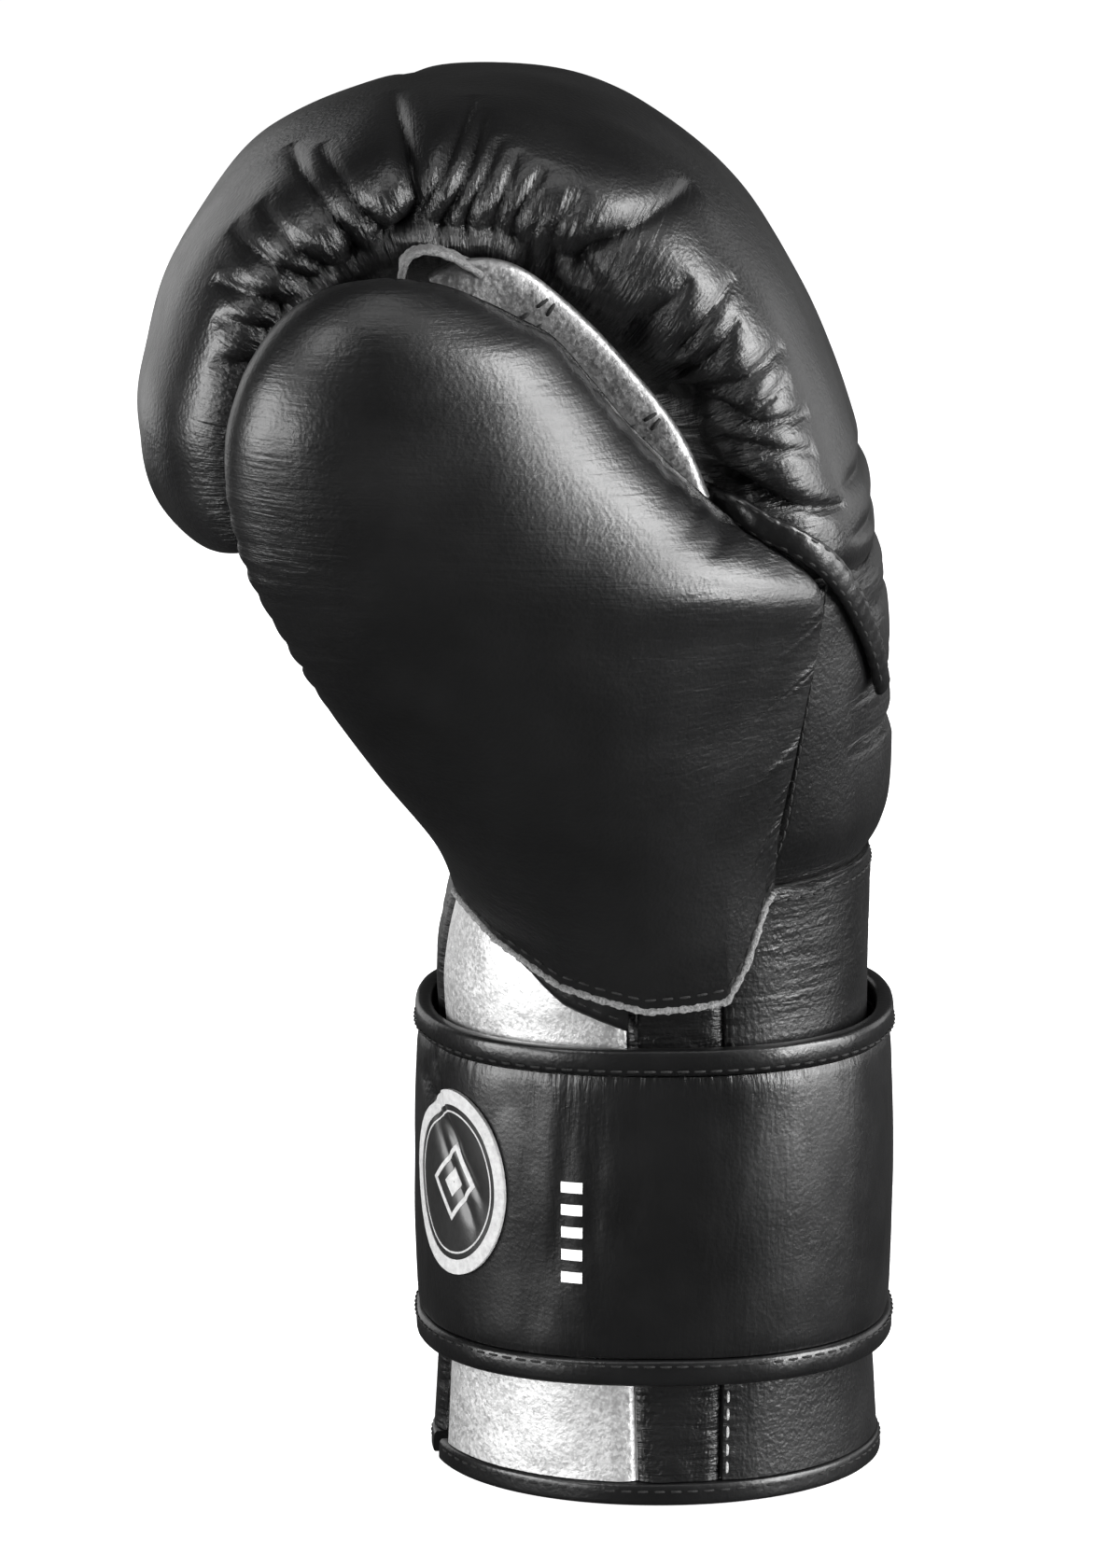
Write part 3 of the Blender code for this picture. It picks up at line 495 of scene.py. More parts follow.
def run_length(points, axis=0):
    """Distance along a grid's lines from their first points."""
    steps = np.linalg.norm(np.diff(points, axis=axis), axis=-1)
    start = np.zeros_like(np.take(steps, [0], axis=axis))
    return np.concatenate([start, np.cumsum(steps, axis=axis)], axis=axis)


def smooth_path(points, count):
    """A smooth curve through a few points."""
    table = np.array(points, float)
    return blend_rows(table, np.linspace(0, len(table) - 1, count))


def share_across(degrees):
    """How far across the wall an angle lies, from 0 at the palm side to 1 at the back."""
    return (1 + bulged(np.cos(np.radians(degrees)), 3.0)) / 2


def crumple(points, uneven, octaves=3):
    """How deep uneven wrinkles of about one size are at each point."""
    flat = points.reshape(-1, 3) / uneven.size + uneven.seed
    values = [noise.ridged_multi_fractal(Vector(p), 1.0, 2.1, octaves, 0.9, 1.6) for p in flat]
    values = np.array(values).reshape(points.shape[:-1])
    return uneven.depth * np.clip(values / 2.2, 0.0, 1.0)


def lumps(points, uneven):
    """How deep or, below zero, how high soft lumps of one size are at each point."""
    flat = points.reshape(-1, 3) / uneven.size + uneven.seed
    return uneven.depth * np.array([noise.noise(Vector(p)) for p in flat]).reshape(points.shape[:-1])


# Materials


def new_material(name, colour, roughness, metallic=0.0):
    made = bpy.data.materials.new(name)
    made.use_nodes = True
    shader = made.node_tree.nodes["Principled BSDF"]
    shader.inputs["Base Color"].default_value = (*colour, 1)
    shader.inputs["Roughness"].default_value = roughness
    shader.inputs["Metallic"].default_value = metallic
    return made, made.node_tree, shader


def add_node(tree, kind, **values):
    """A node with some of its inputs or settings set."""
    node = tree.nodes.new(kind)
    for key, value in values.items():
        name = key.replace("_", " ").title()
        if name in node.inputs:
            node.inputs[name].default_value = value
        else:
            setattr(node, key, value)
    return node


def coordinates(tree, stretch=(1, 1, 1), attribute=None):
    """Coordinates in metres: the object's own, or an attribute's, stretched along each axis."""
    if attribute:
        source = add_node(tree, "ShaderNodeAttribute", attribute_name=attribute).outputs["Vector"]
    else:
        source = add_node(tree, "ShaderNodeTexCoord").outputs["Object"]
    mapping = add_node(tree, "ShaderNodeMapping")
    mapping.inputs["Scale"].default_value = stretch
    tree.links.new(source, mapping.inputs["Vector"])
    return mapping.outputs["Vector"]


def noise_on(tree, where, scale, detail=2.0, rough=0.5, distort=0.0):
    made = add_node(
        tree, "ShaderNodeTexNoise", scale=scale, detail=detail, roughness=rough, distortion=distort
    )
    tree.links.new(where, made.inputs["Vector"])
    return made.outputs["Fac"]


def cells_on(tree, where, scale, output="Distance"):
    made = add_node(tree, "ShaderNodeTexVoronoi", scale=scale)
    tree.links.new(where, made.inputs["Vector"])
    return made.outputs[output]


def spread(tree, value, low, high, from_low=0.3, from_high=0.7):
    """Maps a value's middle range to a new range."""
    made = add_node(tree, "ShaderNodeMapRange")
    tree.links.new(value, made.inputs["Value"])
    made.inputs["From Min"].default_value = from_low
    made.inputs["From Max"].default_value = from_high
    made.inputs["To Min"].default_value = low
    made.inputs["To Max"].default_value = high
    return made.outputs["Result"]


def grey(value):
    return (value, value, value)


def tint(tree, shader, value, dark, light):
    """Colours a finish between two colours, by a value."""
    made = tree.nodes.new("ShaderNodeValToRGB")
    made.color_ramp.elements[0].position = 0.3
    made.color_ramp.elements[0].color = (*dark, 1)
    made.color_ramp.elements[1].position = 0.7
    made.color_ramp.elements[1].color = (*light, 1)
    tree.links.new(value, made.inputs["Fac"])
    tree.links.new(made.outputs["Color"], shader.inputs["Base Color"])


def multiply(tree, first, second):
    made = tree.nodes.new("ShaderNodeMath")
    made.operation = "MULTIPLY"
    tree.links.new(first, made.inputs[0])
    tree.links.new(second, made.inputs[1])
    return made.outputs["Value"]


def raise_bump(tree, shader, layers):
    """Bump layers one over the other: height, strength and distance of each."""
    below = None
    for height, strength, distance in layers:
        made = add_node(tree, "ShaderNodeBump", strength=strength, distance=distance)
        tree.links.new(height, made.inputs["Height"])
        if below:
            tree.links.new(below, made.inputs["Normal"])
        below = made.outputs["Normal"]
    tree.links.new(below, shader.inputs["Normal"])


def black_leather(name, roughness=0.36, grain=0.5, creased=1.0, pleated=0.3):
    """Smooth black leather: fine pores, soft pebbling, and thin wrinkles where it is gathered."""
    made, tree, shader = new_material(name, grey(0.003), roughness)
    where = coordinates(tree)
    dyed = noise_on(tree, where, 26.0, detail=4.0)
    tint(tree, shader, dyed, (0.0018, 0.0018, 0.0019), (0.0042, 0.0042, 0.0044))
    smears = noise_on(tree, where, 42.0, detail=5.0, rough=0.6)
    shine = spread(tree, smears, roughness - 0.05, roughness + 0.08)
    tree.links.new(shine, shader.inputs["Roughness"])
    pores = cells_on(tree, where, 1150.0)
    pebbles = noise_on(tree, where, 700.0, detail=3.0, rough=0.55)
    gathered = coordinates(tree, (1.0, 0.16, 1.0), "place")
    creases = noise_on(tree, gathered, 600.0, detail=4.0, rough=0.6, distort=0.6)
    crease = add_node(tree, "ShaderNodeAttribute", attribute_name="crease").outputs["Fac"]
    shown = spread(tree, crease, 0.0, 1.0, 0.02, 0.5)
    wrinkles = multiply(tree, creases, shown)
    drawn = coordinates(tree, (1.0, 0.07, 1.0), "place")
    pleats = multiply(tree, noise_on(tree, drawn, 270.0, distort=0.4), shown)
    raise_bump(
        tree,
        shader,
        [
            (pleats, 0.50 * pleated, 0.0030),
            (wrinkles, 0.75 * creased, 0.0010),
            (pebbles, 0.45 * grain, 0.0005),
            (pores, 0.30 * grain, 0.00025),
        ],
    )
    return made


def silver_leather(name, dark=0.50, light=0.68, metallic=0.8):
    """Foil-coated leather: bright, with a sparkling grain and soft dents."""
    made, tree, shader = new_material(name, grey(light), 0.42, metallic)
    where = coordinates(tree)
    flecks = cells_on(tree, where, 1500.0, output="Color")
    split = tree.nodes.new("ShaderNodeSeparateColor")
    tree.links.new(flecks, split.inputs["Color"])
    shine = spread(tree, split.outputs["Red"], 0.34, 0.58, 0.0, 1.0)
    tree.links.new(shine, shader.inputs["Roughness"])
    cloudy = noise_on(tree, where, 900.0, detail=3.0, rough=0.7)
    tint(tree, shader, cloudy, grey(dark), grey(light))
    dents = noise_on(tree, where, 75.0, detail=4.0, rough=0.6, distort=0.5)
    grain = noise_on(tree, where, 800.0, detail=3.0, rough=0.6)
    raise_bump(
        tree,
        shader,
        [(dents, 0.08, 0.0016), (grain, 0.35, 0.0004), (split.outputs["Green"], 0.06, 0.0002)],
    )
    return made


def raw_leather():
    """Cut edges: grey, fibrous and matt."""
    made, tree, shader = new_material("raw_edge", grey(0.2), 0.9)
    shader.inputs["Specular IOR Level"].default_value = 0.2
    where = coordinates(tree)
    fibres = noise_on(tree, where, 1600.0, detail=4.0, rough=0.7)
    tint(tree, shader, fibres, grey(0.04), grey(0.20))
    raise_bump(tree, shader, [(fibres, 0.8, 0.0005)])
    return made


def thread(name, dark, light):
    """Twisted sewing thread."""
    made, tree, shader = new_material(name, grey(light), 0.75)
    shader.inputs["Specular IOR Level"].default_value = 0.3
    where = coordinates(tree)
    twist = noise_on(tree, where, 3000.0)
    tint(tree, shader, twist, grey(dark), grey(light))
    raise_bump(tree, shader, [(twist, 0.5, 0.0002)])
    return made


def printed(name, dark, light, roughness):
    """A flat print on leather, thinly worn."""
    made, tree, shader = new_material(name, grey(light), roughness)
    where = coordinates(tree)
    worn = noise_on(tree, where, 700.0, detail=5.0, rough=0.7)
    tint(tree, shader, worn, grey(dark), grey(light))
    raise_bump(tree, shader, [(noise_on(tree, where, 900.0), 0.15, 0.0002)])
    return made


BLACK = black_leather("black_leather", 0.35, 0.65, 1.0, pleated=1.0)
THUMB_BLACK = black_leather("thumb_leather", 0.34, 0.42, 0.7)
CRINKLED = black_leather("crinkled_leather", 0.34, 0.8, 1.3)
STRAP_BLACK = black_leather("strap_leather", 0.32, 0.28, 1.0)
BINDING = black_leather("binding_leather", 0.30, 0.35, 0.5)
SILVER = silver_leather("silver_leather")
# The strip's silver is a darker copy of the silver leather: its darkness is painted shade for the dark
# surroundings it reflects.
SHADED_STRIP_SILVER = silver_leather("strip_leather_painted_shade", dark=0.13, light=0.28, metallic=0.9)
RAW = raw_leather()
THREAD = thread("black_thread", dark=0.002, light=0.012)
GREY_THREAD = thread("grey_thread", dark=0.12, light=0.35)
PRINT = printed("patch_print", dark=0.24, light=0.38, roughness=0.5)
DARK_PRINT = printed("patch_ground", dark=0.008, light=0.014, roughness=0.35)
WHITE_PRINT = printed("white_print", dark=0.50, light=0.68, roughness=0.55)


# Making meshes


SHARP_ANGLE = math.radians(62)


def add_piece(name, points, faces, finish, slot, nodes=(), crease=None, place=None):
    """A piece of the glove, which rides on its one body. crease and place steer its finish's wrinkles;
    crease may be one number for the whole piece."""
    mesh = bpy.data.meshes.new(name)
    mesh.from_pydata(np.asarray(points, float).tolist(), [], faces)
    count = len(mesh.vertices)
    layers = (("crease", "FLOAT", "value", crease, 1), ("place", "FLOAT_VECTOR", "vector", place, 3))
    for title, kind, field, values, width in layers:
        filled = np.zeros(count * width)
        if np.ndim(values):
            flat = np.asarray(values, float).ravel()
            filled[: len(flat)] = flat
        elif values:
            filled[:] = values
        mesh.attributes.new(title, kind, "POINT").data.foreach_set(field, filled)
    work = bmesh.new()
    work.from_mesh(mesh)
    bmesh.ops.recalc_face_normals(work, faces=work.faces)
    work.to_mesh(mesh)
    work.free()
    mesh.materials.append(finish)
    mesh.shade_smooth()
    mesh.set_sharp_from_angle(angle=SHARP_ANGLE)
    made = bpy.data.objects.new(name, mesh)
    bpy.context.scene.collection.objects.link(made)
    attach(made, "root")
    if nodes:
        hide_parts(*nodes)
    return made


def grid_faces(rows, columns, wrap, first=0):
    """Quads of a grid whose points start at an index."""
    index = first + np.arange(rows * columns).reshape(rows, columns)
    if wrap:
        index = np.concatenate([index, index[:, :1]], axis=1)
    quads = np.stack([index[:-1, :-1], index[:-1, 1:], index[1:, 1:], index[1:, :-1]], axis=-1)
    return quads.reshape(-1, 4).tolist()


def shell(outer, inner, wrap=False):
    """Points and faces of a wall between two grids of the same size, closed round its edges."""
    rows, columns = outer.shape[:2]
    count = rows * columns
    points = np.concatenate([outer.reshape(-1, 3), inner.reshape(-1, 3)])
    faces = grid_faces(rows, columns, wrap)
    faces += [f[::-1] for f in grid_faces(rows, columns, wrap, count)]
    around = range(columns if wrap else columns - 1)
    for i in (0, rows - 1):
        for j in around:
            a, b = i * columns + j, i * columns + (j + 1) % columns
            faces.append([a, b, b + count, a + count])
    if not wrap:
        for j in (0, columns - 1):
            for i in range(rows - 1):
                a, b = i * columns + j, (i + 1) * columns + j
                faces.append([a, b, b + count, a + count])
    return points, faces


def tube(rings):
    """Points and faces of a solid skinned over rings, capped at both ends."""
    rows, columns = rings.shape[:2]
    points = np.concatenate([rings.reshape(-1, 3), [rings[0].mean(axis=0)], [rings[-1].mean(axis=0)]])
    faces = grid_faces(rows, columns, True)
    last = (rows - 1) * columns
    centre = rows * columns
    for j in range(columns):
        k = (j + 1) % columns
        faces.append([k, j, centre])
        faces.append([last + j, last + k, centre + 1])
    return points, faces


def bar_rings(path, across, half_across, half_up, sides=10, square=2.0):
    """Rings along a path. across gives the direction of the first half size at each point."""
    tangent = unit(np.gradient(path, axis=0))
    up = unit(np.cross(tangent, across))
    across = unit(np.cross(up, tangent))
    angle = np.linspace(0, 2 * math.pi, sides, endpoint=False)
    wide = bulged(np.cos(angle), square)[None, :, None] * np.reshape(half_across, (-1, 1, 1))
    high = bulged(np.sin(angle), square)[None, :, None] * np.reshape(half_up, (-1, 1, 1))
    return path[:, None] + wide * across[:, None] + high * up[:, None]


def capped_shell(outer, inner):
    """Points and faces of a wall between two closed grids, joined at one end and capped at the other."""
    columns = outer.shape[1]
    count = outer.shape[0] * columns
    caps = [outer[-1].mean(axis=0), inner[-1].mean(axis=0)]
    points = np.concatenate([outer.reshape(-1, 3), inner.reshape(-1, 3), caps])
    faces = grid_faces(outer.shape[0], columns, True)
    faces += [f[::-1] for f in grid_faces(inner.shape[0], columns, True, count)]
    outer_cap = len(points) - 2
    last_outer = count - columns
    last_inner = outer_cap - columns
    for j in range(columns):
        k = (j + 1) % columns
        faces.append([j, k, count + k, count + j])
        faces.append([last_outer + j, last_outer + k, outer_cap])
        faces.append([last_inner + k, last_inner + j, outer_cap + 1])
    return points, faces


def facing_thumb_side(count):
    """That many directions that point away from the hand on the thumb's side."""
    return np.tile([0.0, -1.0, 0.0], (count, 1))


def read_along(at, distance, values):
    """A list of vectors, read at a distance along the path they belong to."""
    return np.array([np.interp(at, distance, values[:, k]) for k in range(3)])


def stitch_line(
    name, path, normals, finish=THREAD, pitch=STITCH_PITCH, length=STITCH_LENGTH, thick=STITCH_THICKNESS
):
    """A row of sewn stitches along a path on a surface: short threads that dive in at both ends."""
    distance = run_length(path)
    count = max(1, int(distance[-1] / pitch))
    starts = (np.arange(count) + 0.5) * distance[-1] / count
    sides = 6
    points = []
    faces = []
    for start in starts:
        rings = []
        for ring in STITCH_RINGS:
            at = start + ring.along * length / 2
            centre = read_along(at, distance, path)
            up = unit(read_along(at, distance, normals))
            ahead = read_along(at + pitch / 4, distance, path)
            behind = read_along(at - pitch / 4, distance, path)
            side = unit(np.cross(ahead - behind, up))
            for k in range(sides):
                angle = 2 * math.pi * k / sides
                step = math.cos(angle) * side + (math.sin(angle) * 0.8) * up
                rings.append(centre + ring.radius * thick / 2 * step + ring.lift * thick / 2 * up)
        first = len(points)
        points += rings
        faces += grid_faces(len(STITCH_RINGS), sides, True, first)
        faces.append([first + k for k in range(sides)])
        faces.append([first + (len(STITCH_RINGS) - 1) * sides + k for k in range(sides)][::-1])
    return add_piece(name, points, faces, finish, "binding_leather")


def wall_path(stations, lift, count=160):
    """A smooth path along the wall through (row, angle) places, and the wall's normals there."""
    places = smooth_path(stations, count)
    at, degrees = places[:, 0], places[:, 1]
    normals = outward(at, degrees)
    return section(at, degrees) + lift * normals, normals


# The fist


def spread_columns(at, count, near_weight, far_weight):
    """Angles round a section, evenly spaced along it but closer on its two sides."""
    fine = np.linspace(0, 360, 1441)
    points = section(at, fine)
    steps = np.linalg.norm(np.diff(points, axis=0), axis=1)
    middle = (fine[1:] + fine[:-1]) / 2
    weight = np.ones(len(middle))
    for (first, last), closer in ((NEAR_GATHERS, near_weight), (FAR_GATHERS, far_weight)):
        weight[(middle > first) & (middle < last)] = closer
    total = np.concatenate([[0.0], np.cumsum(steps * weight)])
    return np.interp(np.linspace(0, total[-1], count, endpoint=False), total, fine)


def stray_folds():
    """Small folds beside the main ones, each a weaker, shorter copy moved along the curl."""
    made = []
    for _ in range(STRAY_FOLDS):
        base = FOLDS[rng.integers(1, len(FOLDS))]
        shift = rng.uniform(-STRAY_SHIFT, STRAY_SHIFT)
        trim = rng.uniform(0.0, 0.7)
        outer = base.middle + (base.outer - base.middle) * (1 - trim) + 4
        made.append(
            Fold(
                base.outer_row + shift + rng.uniform(-0.06, 0.06),
                outer,
                base.middle_row + shift,
                min(base.middle, outer - 6),
                base.inner_row + shift,
                min(base.inner, outer - 14) + rng.uniform(-6, 4),
                rng.uniform(*STRAY_DEPTH),
                rng.uniform(*STRAY_WIDTH),
            )
        )
    return made


def fold_depth(rows, degrees, pitch, folds, far):
    """How deep the folds are at each point of the fist's grid, on one of its two sides."""
    degrees = degrees % 360
    here = (degrees < 180) if far else (degrees >= 180)
    shares = share_across(degrees)
    total = np.zeros(pitch.shape)
    for fold in folds:
        ends = share_across(np.array([fold.outer, fold.middle, fold.inner]))
        curve = np.polyfit(ends, [fold.outer_row, fold.middle_row, fold.inner_row], 2)
        away = (rows[:, None] - np.polyval(curve, shares)[None, :]) * pitch
        along = np.clip((shares - ends[2]) / (ends[0] - ends[2]), 0, 1)
        width = fold.width * FOLD_WIDTH * np.sqrt(pitch / FOLD_PITCH) * (1.2 - 0.7 * along)
        fade = (1 - along) ** 0.45 * smooth_step((shares - ends[2]) / 0.12 + 1) * here
        valley = np.exp(-(np.hypot(away, VALLEY_ROUNDING) - VALLEY_ROUNDING) / width)
        total += (fold.depth * FOLD_DEPTH * valley * fade) ** 2
    return np.sqrt(total)


def turned_over(folds):
    """The same folds on the little finger's side, each a little shifted and less deep."""
    return [
        f._replace(
            outer_row=f.outer_row + 0.10 * math.sin(7 * k),
            outer=360 - f.outer,
            middle_row=f.middle_row + 0.12 * math.sin(5 * k),
            middle=360 - f.middle,
            inner_row=f.inner_row + 0.12 * math.sin(5 * k + 1),
            inner=360 - f.inner,
            depth=f.depth * FAR_SIDE_SHARE,
        )
        for k, f in enumerate(folds)
    ]


def rib_depth(at, degrees):
    """Depth of the stitched grooves across the back of the hand."""
    facing = np.clip(np.cos(np.radians(degrees)), 0.0, 1.0)
    total = 0.0
    for row, share in RIBS:
        away = np.abs(at - row) / RIB_HALF_WIDTH
        total = total + share * (0.55 * np.exp(-away) + 0.45 * np.exp(-((away / 1.8) ** 2)))
    return RIB_DEPTH * total * smooth_step(3.2 * (facing - 0.60))


def edge_depth(distance, depth=SEAM_ROLL, reach=SEAM_REACH):
    """How far leather sinks as it rolls into a seam."""
    return depth * np.clip(1 - distance / reach, 0, 1) ** 2


def fist_rows(start, end):
    """The fist's lines along the glove, closest over the gathers."""
    seam = start + 0.2
    turn = level("front_d")
    stretches = [
        np.linspace(start, seam, SEAM_LINES)[:-1],
        np.linspace(seam, turn, GATHER_LINES)[:-1],
        np.linspace(turn, end, END_LINES),
    ]
    return np.concatenate(stretches)


def fist_folds(rows, degrees, outer):
    """How deep the folds of both sides are at each point of the fist's grid."""
    pitch = np.linalg.norm(np.gradient(outer, rows, axis=0), axis=2)
    near = FOLDS + stray_folds()
    far = turned_over(FOLDS[1:] + stray_folds())
    near_depth = fold_depth(rows, degrees, pitch, near, far=False)
    return near_depth + fold_depth(rows, degrees, pitch, far, far=True)


def fist():
    """The padded fist: gathered at its sides, ribbed at its back, and rounded off at the finger tips."""
    start, end = level("finger_base"), level("end_c")
    rows = fist_rows(start, end)
    widest = (level("crown_b") + level("crown_c")) / 2
    degrees = spread_columns(widest, FIST_COLUMNS, near_weight=2.6, far_weight=1.7)
    at, around = np.meshgrid(rows, degrees, indexing="ij")
    outer = section(at, around)
    normals = outward(np.clip(at, 0.05, end - 0.05), around)
    folds = fist_folds(rows, degrees, outer)
    soft = lumps(outer, FIST_LUMPS)
    inner_side = 1 - share_across(around)
    gathers = crumple(outer, FIST_WRINKLES) * smooth_step(2.5 * (inner_side - 0.45))
    depth = folds + rib_depth(at, around) + soft + gathers + edge_depth(run_length(outer))
    grid = outer - depth[..., None] * normals
    grid[0] += (grid[1] - grid[0]) * 0.3
    centre = grid[-1].mean(axis=0)
    closing = [centre + (grid[-1] - centre) * s for s in (0.7, 0.4, 0.12)]
    grid = np.concatenate([grid, closing])
    hollow_rows = np.linspace(start, level("front_d"), 14)
    inner = section(*np.meshgrid(hollow_rows, degrees, indexing="ij"), hollow=True)
    crease = np.clip(folds / FOLD_DEPTH, 0, 1) + 0.32 * smooth_step(2 * (inner_side - 0.15))
    place = np.stack([at * 0.030, share_across(around) * 0.080, at * 0], axis=-1)
    points, faces = capped_shell(grid, inner)
    made = add_piece("fist", points, faces, BLACK, "black_leather", ["fist_pad"], crease, place)


# The panels of the palm, the heel and the back of the hand


def wall_panel(
    name, node, low, high, start, end, finish, slot, relief, spacing,
    rolled=("low", "high", "sides"), roll=SEAM_ROLL,
):
    """A panel of the wall between two rows and two angles. start and end may change with the row."""
    low_edge = section(low, (start(low) + end(low)) / 2)
    high_edge = section(high, (start(high) + end(high)) / 2)
    count = int(np.linalg.norm(high_edge - low_edge) / spacing) + 2
    rows = np.linspace(low, high, count)
    middle = (low + high) / 2
    across = run_length(section(middle, np.linspace(start(middle), end(middle), 60)))[-1]
    shares = np.linspace(0, 1, int(across / spacing) + 2)
    at = np.repeat(rows[:, None], len(shares), axis=1)
    left = np.array([start(u) for u in rows])[:, None]
    right = np.array([end(u) for u in rows])[:, None]
    degrees = left + (right - left) * shares[None, :]
    outer = section(at, degrees)
    inner = section(at, degrees, hollow=True)
    along = run_length(outer)
    around = run_length(outer, axis=1)
    depth = relief(at, degrees, outer)
    edges = []
    if "low" in rolled:
        edges.append(along)
    if "high" in rolled:
        edges.append(along[-1:] - along)
    if "sides" in rolled:
        edges += [around, around[:, -1:] - around]
    for distance in edges:
        sunk = edge_depth(distance, roll)
        depth = np.maximum(depth, sunk) + 0.15 * np.minimum(depth, sunk)
    outer = outer - depth[..., None] * outward(at, degrees)
    for grid in (outer, inner):
        ends = (grid[0], grid[1]), (grid[-1], grid[-2])
        sides = (grid[:, 0], grid[:, 1]), (grid[:, -1], grid[:, -2])
        for edge, beside in ends + sides:
            edge += unit(beside - edge) * GAP / 2
    crease = np.clip(depth / 0.003, 0, 1)
    place = np.stack([along, around, along * 0], axis=-1)
    points, faces = shell(outer, inner)
    return add_piece(name, points, faces, finish, slot, [node], crease, place)


def fixed(value):
    return lambda row: value


def slit_edge(sign):
    """The edge beside the slit in the cuff, which closes under the strap."""
    half = math.degrees(SLIT_WIDTH / WRIST_DEPTH)
    closing = level("cuff_top")
    return lambda row: HEEL_SEAM + sign * half * float(smooth_step((closing - row) / 0.4))


def back_relief(at, degrees, points):
    """The back of the hand: its quilted ribs, and the edge that meets the thumb's cover."""
    beyond = (degrees - BUTT_SEAM) / 360 * HAND_GIRTH
    seam = 0.0016 * np.exp(-np.abs(beyond) / 0.0010)
    flush = -0.0012 * smooth_step(1 - beyond / 0.030) * (beyond > 0)
    puckers = crumple(points, BACK_PUCKERS) * np.exp(-np.abs(beyond) / 0.006)
    fade = smooth_step((at - 5.05) / 0.3) * smooth_step((8.9 - at) / 0.3)
    return rib_depth(at, degrees) + (seam + flush + puckers) * fade + lumps(points, BACK_LUMPS)


def wrist_relief(at, degrees, points):
    """The wrist and the heel: soft cross wrinkles above the strap, and slow waves."""
    bent = smooth_step((at - 3.2) / 1.2)
    return crumple(points * [0.4, 1, 1.6], WRIST_WRINKLES) * bent + lumps(points, WRIST_LUMPS)


def silver_relief(at, degrees, points):
    """The silver panel, softly buckled."""
    return crumple(points * [1, 1, 1.4], SILVER_WRINKLES) + lumps(points, SILVER_LUMPS)


def gusset_relief(at, degrees, points):
    """The gusset's thin leather, crinkled all over."""
    return crumple(points * [1, 1, 1.4], GUSSET_WRINKLES, octaves=4)


def panels():
    """The five panels of the wall. Those that stand on the rim aren't rolled in at their foot."""
    top = level("finger_base")
    groove = level("groove")
    around = fixed(360 + LITTLE_FINGER_SEAM)
    standing = ("high", "sides")
    heel = wall_panel(
        "heel", "heel_panel", FOOT_ROW, top, fixed(LITTLE_FINGER_SEAM), slit_edge(-1), BLACK,
        "black_leather", wrist_relief, spacing=0.0014, rolled=standing,
    )
    wall_panel(
        "palm", "palm_panel", FOOT_ROW, top, slit_edge(1), fixed(PALM_SEAM), SILVER,
        "silver_leather", silver_relief, spacing=0.0013, rolled=standing,
    )
    wall_panel(
        "gusset", "gusset_panel", FOOT_ROW, groove, fixed(PALM_SEAM), fixed(GUSSET_SEAM), CRINKLED,
        "black_leather", gusset_relief, spacing=0.0009, rolled=standing,
    )
    wrist = wall_panel(
        "wrist", "wrist_panel", FOOT_ROW, groove, fixed(GUSSET_SEAM), around, BLACK,
        "black_leather", wrist_relief, spacing=0.0014, rolled=standing, roll=0.0010,
    )
    back = wall_panel(
        "back", "back_panel", groove, top, fixed(PALM_SEAM), around, BLACK,
        "black_leather", back_relief, spacing=0.0011,
    )


# The thumb


def body_surface():
    """The hand's outside without the thumb, to lay things on."""
    rows = np.linspace(0, level("end_c"), 240)
    degrees = spread_columns(8, 240, 1.5, 1.0)
    grid = section(*np.meshgrid(rows, degrees, indexing="ij"))
    return BVHTree.FromPolygons(grid.reshape(-1, 3).tolist(), grid_faces(len(rows), len(degrees), True))


def body_side(tree, points):
    """The y of the hand's thumb side behind each point, or a place far behind where there is none."""
    far = 1.0
    out = np.full(points.shape[:-1], far)
    for index in np.ndindex(*out.shape):
        x, _, z = points[index]
        hit = tree.ray_cast(Vector((x, -1.0, z)), Vector((0, 1, 0)))[0]
        if hit:
            out[index] = hit.y
    return out


def smooth_min(a, b, blend):
    """The lower of two values, rounded where they cross."""
    h = np.clip(0.5 + 0.5 * (b - a) / blend, 0.0, 1.0)
    return b + (a - b) * h - blend * h * (1 - h)


def cover_table():
    """The cover's rows in metres, from the shares of the thumb solid's box."""
    low, high = (np.array(corner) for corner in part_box("thumb_pad"))
    size = high - low
    table = []
    for r in COVER_ROWS:
        left = low + size * [r.left_x, r.left_y, r.left_z]
        right = low + size * [r.right_x, r.right_y, r.right_z]
        table.append([*left, *right, r.sag * size[2], r.out * size[1], r.inward * size[1], r.round])
    return np.array(table)


def cover_grids(rows, columns):
    """The thumb cover's two faces as grids: the outer one and the inner one, from hem to tip."""
    values = blend_rows(cover_table(), rows)[:, None, :]
    left, right = values[..., :3], values[..., 3:6]
    sag, out, inward, rounded = (values[..., k] for k in (6, 7, 8, 9))
    share = (1 - np.cos(np.linspace(0, math.pi, columns)))[None, :] / 2
    hem_shares, hem_drops = np.array(HEM).T
    hem = np.interp(share, hem_shares, hem_drops)
    parabola = 4 * share * (1 - share)
    upper = smooth_step(rows / 1.5)[:, None]
    drop = sag * (hem * (1 - upper) + parabola * upper)
    chord = left + share[..., None] * (right - left)
    chord[..., 2] -= drop
    rise = 1 - np.abs(2 * share - 1) ** COVER_SQUARE
    outer = chord.copy()
    outer[..., 1] -= out * rise ** (1 / np.where(share < 0.5, COVER_SQUARE, rounded))
    inner = chord.copy()
    inner[..., 1] += inward * rise ** (1 / COVER_SQUARE)
    return outer, inner


def thumb_rows():
    """The cover's lines along its table, closest at the tip."""
    last = len(COVER_ROWS) - 1
    return np.clip(last - last * np.linspace(1, 0, THUMB_LINES) ** 1.15, 0, last - 0.02)


